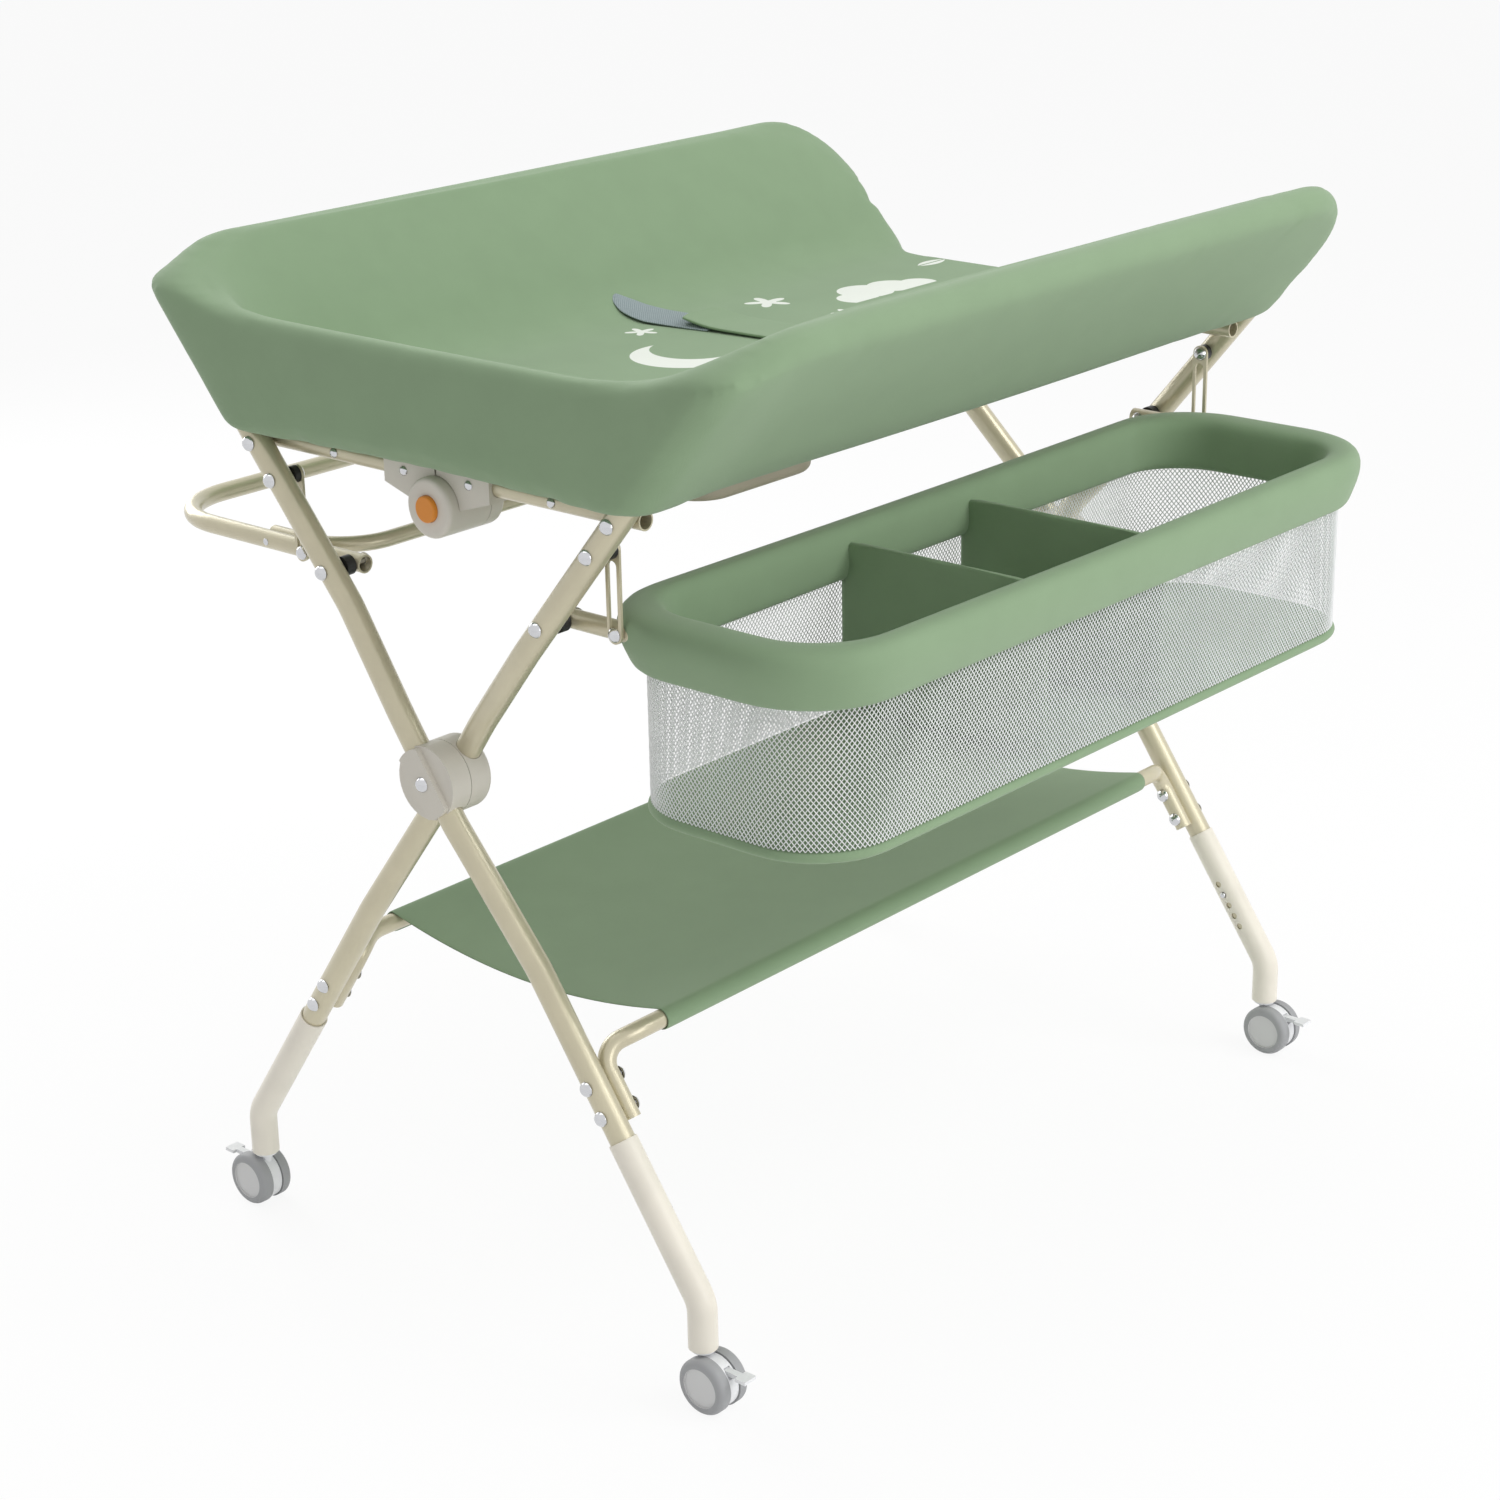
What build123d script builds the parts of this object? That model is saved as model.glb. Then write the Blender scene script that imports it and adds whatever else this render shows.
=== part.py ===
from build123d import *
import os
from math import asin, atan2, cos, degrees, hypot, radians, sin, sqrt

# Folding changing table on castors, in millimetres. X runs along the table from the head end (-X)
# to the foot end (+X), -Y is the basket side, +Z is up, and the floor is at Z = 0.

# Driving dimensions of the crossed frame
leg_plane = 426.0
leg_dia = 22.0
tube_wall = 1.5
rail_y = 316.4
rail_z = 871.0
rail_corner_r = 90.0
bend_y = 102.0
bend_z = 612.0
hub_z = 485.0
foot_y = 270.0
foot_bend_z = 93.0
foot_z = 52.7
joggle = 12.5
joggle_top_s = 62.0
joggle_start_s = 40.0
joggle_end_s = 176.0
leg_end_s = 440.0
slight_bend_r = 100.0
fit_gap = 0.3
overrun = 5.0

# Hub halves and their rivet
hub_r = 31.5
hub_face_wall = 2.2
hub_ridge_h = 4.5
hub_ridge_side = 1.5
hub_split_gap = 0.6
hub_inner_wall = 3.0
hub_inner_round = 8.0
hub_edge_round = 1.5
hub_rivet_r = 4.0

# Rivets of the frame
head_r = 6.5
head_h = 4.6
shank_r = 3.0
strut_rivet_z = 735.0
link_rivet_z = 707.0
ring_rivet_z = 638.0
shelf_rivet_low_s = 307.3
shelf_rivet_high_s = 280.5

# Folding cross struts
strut_dia = 16.0
side_gap = 0.6
strut_end = 12.0
strut_inner_y = 24.0
drum_z = 712.0
drum_r = 25.0
drum_face_x = 428.0
drum_seam_x = 382.0
drum_back_x = 366.0
drum_round = 4.0
clamp_reach = 60.0
clamp_side = 3.5
clamp_top = 9.7
clamp_bottom = 12.0
clamp_split = 1.0
screw_inner_y = 37.0
screw_outer_y = 124.0
screw_head_r = 4.2
screw_head_h = 2.6
screw_r = 2.0

# Release buttons
button_r = 11.0
button_proud = 4.0
button_length = 16.0
button_recess = 20.0
button_round = 1.6

# Boards, pad and belt that make the changing surface
board_half_x = 412.0
board_inner_y = 2.0
board_outer_y = 132.0
board_thick = 4.0
board_corner_r = 8.0
pad_half_x = 424.0
pad_half_y = board_outer_y
pad_thick = 10.0
pad_corner_r = 12.0
pad_round = 4.0
belt_x = 55.0
belt_half_w = 27.0
belt_half_y = 128.0
belt_mesh_y = 96.0
belt_mesh_thick = 1.4
belt_thick = 3.0

# Moulded tray under the front board
tray_x = -200.0
tray_length = 156.0
tray_front_y = 158.0
tray_width = 92.0
tray_bottom_z = 706.0
tray_corner_r = 34.0
tray_edge_r = 7.0
tray_wall = 2.5

# Padded sides and head end wall
side_half_thick = 16.0
side_over_rail = 20.0
side_bottom_z = 749.0
side_edge_r = 11.0
side_foot_r = 14.0
notch_side = 2.4
back_notch_y = 217.0
back_notch_top_z = 785.0
front_notch_y = 255.0
front_notch_top_z = 794.0
ledge_half_x = 391.0
ledge_cove = 14.0
back_ledge_y = 148.0
front_ledge_y = 170.0
wall_thick = 14.0
wall_bottom_z = 749.0
wall_top_z = 846.0
wall_edge_r = 5.0

# Hinged rings, their links and spacers
ring_dia = 16.0
ring_spacer = 9.6
back_ring_outer_y = 384.0
front_ring_outer_y = 378.0
ring_corner_r = 75.0
ring_end = 10.0
cross_dia = 14.0
cross_y = 154.0
cross_corner_r = 50.0
cross_end_y = 245.0
cross_rivet_y = 230.0
pin_y = 180.4
pin_r = 2.4
pin_head_r = 6.0
pin_head_h = 4.0
link_thick = 2.5
link_half_w = 7.5
slot_half_w = 4.6
slot_top_gap = 14.0
spacer_r = 8.5

# Basket
rim_over_side = 8.9
rim_over_cross = 7.0
rim_over_front = 7.9
rim_back_corner_r = 80.0
rim_front_corner_r = 90.0
rim_top_z = 655.0
rim_bottom_z = 604.0
rim_flare = 12.0
rim_inside_side = 23.1
rim_inside_cross = 7.0
rim_inside_front = 6.0
rim_inner_corner_r = 56.0
rim_round = 8.0
link_notch = 20.5
net_in_side = 24.0
net_in_back = 14.0
net_in_front = 15.9
net_corner_r = 72.0
net_thick = 1.2
base_top_z = 490.0
base_thick = 11.0
base_lip = 4.0
base_round = 4.5
divider_places = (-106.0, 61.0)
divider_thick = 6.0
divider_top_z = 643.0

# Low shelf
shelf_y = 161.0
shelf_z = 285.0
shelf_dia = 16.0
shelf_end_s = 318.0
shelf_turn_s = 256.0
shelf_turn_x = 376.0
shelf_turn_r = 20.0
shelf_ease_r = 40.0
sling_half_x = 350.0
sling_thick = 2.4
sling_sag = 16.0

# Adjustable feet
sleeve_dia = 25.0
sleeve_top_s = 330.6
sleeve_bore_s = 456.0
sleeve_bend_r = 30.0
hole_first_s = 385.0
hole_pitch = 11.7
hole_count = 5
hole_used = 1
hole_r = 3.2
snap_r = 2.8
snap_flange_r = 4.4
snap_flange = 3.0
snap_proud = 2.4
leaf_thick = 0.8
leaf_width = 5.0
leaf_length = 34.0
stem_r = 5.0
stem_length = 25.0

# Castors
wheel_r = 24.5
wheel_width = 11.0
wheel_gap = 12.0
wheel_round = 5.0
wheel_disc_r = 17.0
wheel_disc_depth = 1.5
axle_r = 3.0
trail = 10.0
web_thick = 10.6
boss_r = 10.0
boss_height = 2.4
web_r = 23.0
brake_pin_r = 1.2
brake_pin_reach = 18.5
brake_pin_angle = 48.0
brake_ear_r = 3.0
brake_slot = 4.2
brake_length = 28.0
brake_thick = 3.0
brake_half_w = 3.2
brake_wing_start = 17.0
brake_wing_half_w = 7.0

# Worked out from the sizes above
leg_r = leg_dia / 2
foot_reach = hypot(foot_y, hub_z - foot_bend_z)
lower_angle = degrees(atan2(hub_z - foot_bend_z, foot_y))
upper_angle = degrees(atan2(rail_z - bend_z, rail_y - bend_y))
leg_inner_x = leg_plane - leg_r
leg_outer_x = leg_plane + leg_r
strut_r = strut_dia / 2
strut_x = leg_inner_x - side_gap - strut_r
ring_r = ring_dia / 2
ring_x = leg_inner_x - ring_spacer - fit_gap - ring_r
cross_r = cross_dia / 2
cross_x = ring_x - ring_r - fit_gap - cross_r
link_x = ring_x + ring_r + 2 * fit_gap + link_thick / 2
rim_half_x = ring_x + ring_r + rim_over_side
rim_back_y = cross_y - cross_r - rim_over_cross
rim_front_y = front_ring_outer_y + ring_r + rim_over_front
rim_inner_half_x = ring_x - ring_r - rim_inside_side
rim_inner_back_y = cross_y + cross_r + rim_inside_cross
rim_inner_front_y = front_ring_outer_y - ring_r - rim_inside_front
net_half_x = rim_half_x - net_in_side
net_back_y = rim_back_y + net_in_back
net_front_y = rim_front_y - net_in_front
shelf_r = shelf_dia / 2
shelf_x = leg_inner_x - fit_gap - shelf_r
board_z = strut_rivet_z + clamp_top + fit_gap
pad_z = board_z + board_thick + fit_gap
belt_z = pad_z + pad_thick - fit_gap - belt_thick
button_s = hole_first_s + hole_used * hole_pitch
wheel_y = foot_y + trail
sides = (("back", 1), ("front", -1))
ends = (("head", -1), ("foot", 1))

os.makedirs("parts", exist_ok=True)


def save(node, label):
    node.part.label = label
    export_step(node.part, "parts/" + label + ".step")


def lower(s):
    """Y and Z of the lower leg's centre line, at the distance s down from the hub."""
    return s * cos(radians(lower_angle)), hub_z - s * sin(radians(lower_angle))


def upper_y(z):
    """Y of the upper leg's centre line at the height z."""
    return rail_y - (rail_z - z) * cos(radians(upper_angle)) / sin(radians(upper_angle))


def arch_points(side, shift):
    """Centre line of one arch from foot to foot: side is the Y sign of its rail, shift its offset at the hub."""
    head_end = (
        (leg_plane, -lower(leg_end_s)[0], lower(leg_end_s)[1]),
        (leg_plane, -lower(joggle_end_s)[0], lower(joggle_end_s)[1]),
        (leg_plane + shift, -lower(joggle_start_s)[0], lower(joggle_start_s)[1]),
        (leg_plane + shift, -lower(-joggle_top_s)[0], lower(-joggle_top_s)[1]),
        (leg_plane, bend_y, bend_z),
        (leg_plane, rail_y, rail_z),
    )
    first = [(-x, side * y, z) for x, y, z in head_end]
    return first + [(-x, y, z) for x, y, z in reversed(first)]


arch_bends = [slight_bend_r, slight_bend_r, slight_bend_r, slight_bend_r, rail_corner_r]
arch_bends = arch_bends + list(reversed(arch_bends))


def pipe(points, bends, outer, inner=0, mode=Mode.ADD):
    """Sweep a round tube along straight runs joined by tangent arcs."""
    with BuildLine(mode=Mode.PRIVATE) as path:
        FilletPolyline(*points, radius=bends)
    run = path.wire()
    with BuildSketch(Plane(origin=run @ 0, z_dir=run % 0), mode=Mode.PRIVATE) as section:
        Circle(outer)
        if inner:
            Circle(inner, mode=Mode.SUBTRACT)
    sweep(section.sketch, path=run, mode=mode)


def bar(x_low, x_high, y, z, radius, mode=Mode.ADD):
    """Round bar along X between two places."""
    with BuildSketch(Plane(origin=(x_low, y, z), z_dir=(1, 0, 0)), mode=Mode.PRIVATE) as section:
        Circle(radius)
    extrude(section.sketch, amount=x_high - x_low, mode=mode)


def rivet(x_out, x_in, y, z, shank, head, height, inner_head=True):
    """Domed rivet along X with its outer head at x_out, towards -X, and its inner end at x_in."""
    dome_r = (head ** 2 + height ** 2) / (2 * height)
    half_angle = asin(head / dome_r) / 2
    rise = dome_r * (1 - cos(half_angle))
    reach = dome_r * sin(half_angle)
    with BuildSketch(Plane(origin=(0, y, z), x_dir=(1, 0, 0), z_dir=(0, 0, 1)), mode=Mode.PRIVATE) as profile:
        with BuildLine():
            ThreePointArc((x_out - height, 0), (x_out - height + rise, reach), (x_out, head))
            Line((x_out, head), (x_out, shank))
            Line((x_out, shank), (x_in, shank))
            if inner_head:
                Line((x_in, shank), (x_in, head))
                ThreePointArc((x_in, head), (x_in + height - rise, reach), (x_in + height, 0))
                Line((x_in + height, 0), (x_out - height, 0))
            else:
                Line((x_in, shank), (x_in, 0))
                Line((x_in, 0), (x_out - height, 0))
        make_face()
    revolve(profile.sketch, axis=Axis((0, y, z), (1, 0, 0)))


def outline(half_x, y_near, y_far, r_near, r_far):
    """Rounded rectangle whose corners differ on its two long edges, as a face in the current sketch."""
    with BuildLine() as loop:
        Line((-half_x + r_near, y_near), (half_x - r_near, y_near))
        CenterArc((half_x - r_near, y_near - r_near), r_near, 0, 90)
        Line((half_x, y_near - r_near), (half_x, y_far + r_far))
        CenterArc((half_x - r_far, y_far + r_far), r_far, -90, 90)
        Line((half_x - r_far, y_far), (-half_x + r_far, y_far))
        CenterArc((-half_x + r_far, y_far + r_far), r_far, 180, 90)
        Line((-half_x, y_far + r_far), (-half_x, y_near - r_near))
        CenterArc((-half_x + r_near, y_near - r_near), r_near, 90, 90)
    make_face(loop.edges())


# Arches: one bent tube each, from castor to castor over its rail, crossing side by side at the hub
for name, side in sides:
    shift = side * joggle
    with BuildPart() as arch_tube:
        pipe(arch_points(side, shift), arch_bends, leg_r, leg_r - tube_wall)
        for s in (shelf_rivet_low_s, shelf_rivet_high_s):
            bar(-leg_outer_x - overrun, -leg_inner_x + overrun, -side * lower(s)[0], lower(s)[1],
                shank_r + fit_gap, Mode.SUBTRACT)
        for z in (strut_rivet_z, link_rivet_z, ring_rivet_z):
            bar(-leg_outer_x - overrun, -leg_inner_x + overrun, side * upper_y(z), z,
                shank_r + fit_gap, Mode.SUBTRACT)
        bar(-leg_outer_x - joggle - overrun, -leg_inner_x + joggle + overrun, 0, hub_z,
            hub_rivet_r + fit_gap, Mode.SUBTRACT)
        bar(-leg_plane, -leg_inner_x + overrun, -side * lower(button_s)[0], lower(button_s)[1],
            hole_r, Mode.SUBTRACT)
        split(bisect_by=Plane.YZ, keep=Keep.BOTTOM)
        mirror(about=Plane.YZ)
    save(arch_tube, name + "_arch_tube")

# Hub halves: the back arch's half is the outer disc with a ridge over the tube, the front arch's the drum
back_tube_x = leg_plane + joggle
front_tube_x = leg_plane - joggle
hub_face_x = back_tube_x + leg_r + hub_face_wall
hub_seam_x = leg_plane
hub_inner_x = front_tube_x - leg_r - hub_inner_wall
for name, side in sides:
    tube_x = leg_plane + side * joggle
    slope = side * lower_angle
    with BuildPart() as hub_half:
        if side > 0:
            bar(-hub_face_x + hub_ridge_h, -hub_seam_x - hub_split_gap / 2, 0, hub_z, hub_r)
            with BuildSketch(Plane(origin=(-hub_face_x, 0, hub_z), x_dir=(0, 1, 0), z_dir=(1, 0, 0))):
                Circle(hub_r - hub_edge_round)
                Rectangle(2 * hub_r, leg_dia + 2 * hub_ridge_side, rotation=slope, mode=Mode.INTERSECT)
            extrude(amount=hub_ridge_h)
        else:
            bar(-hub_seam_x + hub_split_gap / 2, -hub_inner_x, 0, hub_z, hub_r)
            fillet(hub_half.edges().filter_by(GeomType.CIRCLE).sort_by(Axis.X)[-1], hub_inner_round)
        with BuildSketch(Plane(origin=(-tube_x, 0, hub_z), z_dir=(0, cos(radians(slope)), sin(radians(slope))))):
            Circle(leg_r + fit_gap)
        extrude(amount=2 * hub_r, both=True, mode=Mode.SUBTRACT)
        bar(-hub_face_x - overrun, -hub_inner_x + overrun, 0, hub_z, hub_rivet_r + fit_gap, Mode.SUBTRACT)
        mirror(about=Plane.YZ)
    save(hub_half, name + "_hub_half")

# Rivets that stay with each arch, with the spacers' and shelf rails' inner heads
for name, side in sides:
    with BuildPart() as rivets:
        if side > 0:
            rivet(-hub_face_x - fit_gap, -hub_inner_x + fit_gap, 0, hub_z, hub_rivet_r, head_r, head_h)
            rivet(-leg_outer_x - fit_gap, -strut_x + strut_r + fit_gap, side * upper_y(strut_rivet_z),
                  strut_rivet_z, shank_r, head_r, head_h)
        else:
            rivet(-leg_outer_x - fit_gap, -leg_inner_x, side * upper_y(strut_rivet_z), strut_rivet_z,
                  shank_r, head_r, head_h, inner_head=False)
        rivet(-leg_outer_x - fit_gap, -link_x + link_thick / 2 + fit_gap, side * upper_y(link_rivet_z),
              link_rivet_z, shank_r, head_r, head_h)
        rivet(-leg_outer_x - fit_gap, -ring_x + ring_r + fit_gap, side * upper_y(ring_rivet_z), ring_rivet_z,
              shank_r, head_r, head_h)
        for s in (shelf_rivet_low_s, shelf_rivet_high_s):
            rivet(-leg_outer_x - fit_gap, -shelf_x + shelf_r + fit_gap, -side * lower(s)[0], lower(s)[1],
                  shank_r, head_r, head_h)
        mirror(about=Plane.YZ)
    save(rivets, name + "_frame_rivets")

# Cross struts: a tube, a clamp with half of the locking drum, and screws on each side of the table
for name, side in sides:
    pivot_y = upper_y(strut_rivet_z)
    with BuildPart() as strut_tube:
        with BuildSketch(Plane(origin=(-strut_x, side * strut_inner_y, strut_rivet_z), z_dir=(0, side, 0))):
            Circle(strut_r)
            Circle(strut_r - tube_wall, mode=Mode.SUBTRACT)
        extrude(amount=pivot_y + strut_end - strut_inner_y)
        for y in (screw_outer_y, screw_inner_y):
            bar(-strut_x - strut_r - overrun, -strut_x + strut_r + overrun, side * y, strut_rivet_z,
                screw_r + fit_gap, Mode.SUBTRACT)
        if side > 0:
            bar(-strut_x - strut_r - overrun, -strut_x + strut_r + overrun, pivot_y, strut_rivet_z,
                shank_r + fit_gap, Mode.SUBTRACT)
        mirror(about=Plane.YZ)
    save(strut_tube, name + "_strut_tubes")

    own_low, own_high = (-drum_face_x, -drum_seam_x - fit_gap)
    if side < 0:
        own_low, own_high = (-drum_seam_x + fit_gap, -drum_back_x)
    clamp_face_x = strut_x + strut_r + clamp_side
    with BuildPart() as strut_hub:
        bar(own_low, own_high, 0, drum_z, drum_r)
        fillet(strut_hub.edges().filter_by(GeomType.CIRCLE).sort_by(Axis.X)[0 if side > 0 else -1], drum_round)
        with BuildSketch(Plane(origin=(-clamp_face_x, 0, 0), x_dir=(0, 1, 0), z_dir=(1, 0, 0))):
            with BuildLine():
                Polyline(
                    (side * clamp_split, strut_rivet_z + clamp_top),
                    (side * clamp_reach, strut_rivet_z + clamp_top),
                    (side * clamp_reach, strut_rivet_z - clamp_bottom),
                    (side * drum_r, drum_z),
                    (side * clamp_split, drum_z),
                    close=True,
                )
            make_face()
        extrude(amount=clamp_face_x + own_high)
        if side < 0:
            bar(-drum_face_x - overrun, -drum_seam_x, 0, drum_z, drum_r + 2 * fit_gap, Mode.SUBTRACT)
        with BuildSketch(Plane(origin=(-strut_x, side * (strut_inner_y - fit_gap), strut_rivet_z),
                               z_dir=(0, side, 0))):
            Circle(strut_r + fit_gap)
        extrude(amount=clamp_reach, mode=Mode.SUBTRACT)
        bar(-clamp_face_x - overrun, -drum_back_x + overrun, side * screw_inner_y, strut_rivet_z,
            screw_r + fit_gap, Mode.SUBTRACT)
        if side > 0:
            bar(-drum_face_x - overrun, -drum_face_x + button_recess, 0, drum_z, button_r + fit_gap, Mode.SUBTRACT)
        mirror(about=Plane.YZ)
    save(strut_hub, name + "_strut_hubs")

    with BuildPart() as strut_screws:
        rivet(-clamp_face_x - fit_gap, own_high + fit_gap, side * screw_inner_y, strut_rivet_z,
              screw_r, screw_head_r, screw_head_h)
        rivet(-strut_x - strut_r - fit_gap, -strut_x + strut_r + fit_gap, side * screw_outer_y, strut_rivet_z,
              screw_r, screw_head_r, screw_head_h)
        mirror(about=Plane.YZ)
    save(strut_screws, name + "_strut_screws")

# Release buttons in the locking drums
for name, end in ends:
    with BuildPart() as release_button:
        bar(-drum_face_x - button_proud, -drum_face_x - button_proud + button_length, 0, drum_z, button_r)
        fillet(release_button.edges().filter_by(GeomType.CIRCLE).sort_by(Axis.X)[0], button_round)
        if end > 0:
            mirror(about=Plane.YZ, mode=Mode.REPLACE)
    save(release_button, name + "_release_button")

# Boards that carry the pad, one on each pair of strut halves
for name, side in sides:
    with BuildPart() as board:
        with BuildSketch(Plane.XY.offset(board_z)):
            with Locations((0, side * (board_inner_y + board_outer_y) / 2)):
                RectangleRounded(2 * board_half_x, board_outer_y - board_inner_y, board_corner_r)
        extrude(amount=board_thick)
    save(board, name + "_floor_board")

with BuildPart() as tray:
    tray_y = -tray_front_y + tray_width / 2
    with BuildSketch(Plane.XY.offset(tray_bottom_z)):
        with Locations((tray_x, tray_y)):
            RectangleRounded(tray_length, tray_width, tray_corner_r)
    extrude(amount=board_z - fit_gap - tray_bottom_z)
    fillet(tray.faces().sort_by(Axis.Z)[0].edges(), tray_edge_r)
    offset(amount=-tray_wall, openings=tray.faces().sort_by(Axis.Z)[-1])
save(tray, "under_tray")

# Changing pad with the belt sunk in its top, each parted over the fold line between the boards
for name, side in sides:
    with BuildPart() as changing_pad:
        with BuildSketch(Plane.XY.offset(pad_z)):
            RectangleRounded(2 * pad_half_x, 2 * pad_half_y, pad_corner_r)
        extrude(amount=pad_thick)
        fillet(changing_pad.faces().sort_by(Axis.Z)[-1].edges(), pad_round)
        with BuildSketch(Plane.XY.offset(belt_z - fit_gap)):
            with Locations((belt_x, 0)):
                Rectangle(2 * (belt_half_w + fit_gap), 2 * (pad_half_y + overrun))
        extrude(amount=pad_thick, mode=Mode.SUBTRACT)
        fold_line = Plane(origin=(0, side * fit_gap / 2, 0), z_dir=(0, side, 0))
        split(bisect_by=fold_line, keep=Keep.TOP)
    save(changing_pad, name + "_changing_pad")

    belt_end_y = belt_half_y if side < 0 else belt_mesh_y - fit_gap
    with BuildPart() as belt_pad:
        with BuildSketch(Plane.XY.offset(belt_z)):
            with Locations((belt_x, side * (belt_end_y + fit_gap / 2) / 2)):
                Rectangle(2 * belt_half_w, belt_end_y - fit_gap / 2)
        extrude(amount=belt_thick)
        fillet(belt_pad.faces().sort_by(Axis.Z)[-1].edges().filter_by(Axis.Y), belt_thick / 3)
    save(belt_pad, name + "_belt_pad")

with BuildPart() as belt_mesh:
    with BuildSketch(Plane.XY.offset(belt_z)):
        with Locations((belt_x, (belt_mesh_y + belt_half_y) / 2)):
            Rectangle(2 * belt_half_w, belt_half_y - belt_mesh_y)
    extrude(amount=belt_mesh_thick)
save(belt_mesh, "belt_mesh")

# Padded sides over the rails and upper legs, open inside for the tube
side_half_x = leg_plane + side_half_thick
side_depth = (rail_z - side_bottom_z) / sin(radians(upper_angle))
for name, side in sides:
    slant = Plane(origin=(0, side * rail_y, rail_z), x_dir=(1, 0, 0),
                  z_dir=(0, -side * sin(radians(upper_angle)), cos(radians(upper_angle))))
    up = 1 if slant.y_dir.Z > 0 else -1
    with BuildPart() as side_pad:
        with BuildSketch(slant):
            with Locations((0, up * (side_over_rail - side_depth) / 2)):
                Rectangle(2 * side_half_x, side_over_rail + side_depth)
        extrude(amount=side_half_thick, both=True)
        tall = side_pad.edges().filter_by(Axis((0, 0, 0), slant.z_dir))
        fillet(tall.sort_by(Axis.Z)[-2:], rail_corner_r + side_half_thick)
        tall = side_pad.edges().filter_by(Axis((0, 0, 0), slant.z_dir))
        fillet(tall.sort_by(Axis.Z)[:2], side_foot_r)
        broad = side_pad.faces().filter_by(Axis((0, 0, 0), slant.z_dir))
        fillet(broad.edges(), side_edge_r)
        pipe(arch_points(side, joggle)[4:8], [rail_corner_r, rail_corner_r], leg_r + fit_gap,
             mode=Mode.SUBTRACT)
        notch_y = back_notch_y if side > 0 else front_notch_y
        notch_top_z = back_notch_top_z if side > 0 else front_notch_top_z
        for x in (-strut_x, strut_x):
            with BuildSketch(Plane.XY.offset(side_bottom_z - side_half_thick)):
                with Locations((x, side * notch_y / 2)):
                    Rectangle(strut_dia + 2 * notch_side, notch_y)
            extrude(amount=notch_top_z - side_bottom_z + side_half_thick, mode=Mode.SUBTRACT)
        ledge_y = back_ledge_y if side > 0 else front_ledge_y
        ledge_low_z = pad_z
        with BuildSketch(Plane(origin=(-ledge_half_x, 0, 0), x_dir=(0, 1, 0), z_dir=(1, 0, 0))):
            with BuildLine():
                Polyline(
                    (side * ledge_y, ledge_low_z),
                    (side * upper_y(ledge_low_z), ledge_low_z),
                    (side * upper_y(ledge_low_z + pad_thick + ledge_cove), ledge_low_z + pad_thick + ledge_cove),
                    (side * (upper_y(ledge_low_z + pad_thick) - 2 * side_half_thick), ledge_low_z + pad_thick),
                    (side * ledge_y, ledge_low_z + pad_thick),
                    close=True,
                )
            make_face()
        extrude(amount=2 * ledge_half_x)
    save(side_pad, name + "_side_pad")

# End wall at the head end, between the two padded sides
with BuildPart() as head_wall:
    inner_reach = side_half_thick / sin(radians(upper_angle)) + fit_gap
    with BuildSketch(Plane(origin=(-side_half_x, 0, 0), x_dir=(0, 1, 0), z_dir=(1, 0, 0))):
        with BuildLine():
            Polyline(
                (upper_y(wall_bottom_z) - inner_reach, wall_bottom_z),
                (upper_y(wall_top_z) - inner_reach, wall_top_z),
                (-upper_y(wall_top_z) + inner_reach, wall_top_z),
                (-upper_y(wall_bottom_z) + inner_reach, wall_bottom_z),
                close=True,
            )
        make_face()
    extrude(amount=wall_thick)
    fillet(head_wall.edges().group_by(Axis.Z)[-1].filter_by(Axis.Y), wall_edge_r)
save(head_wall, "head_end_wall")

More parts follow.
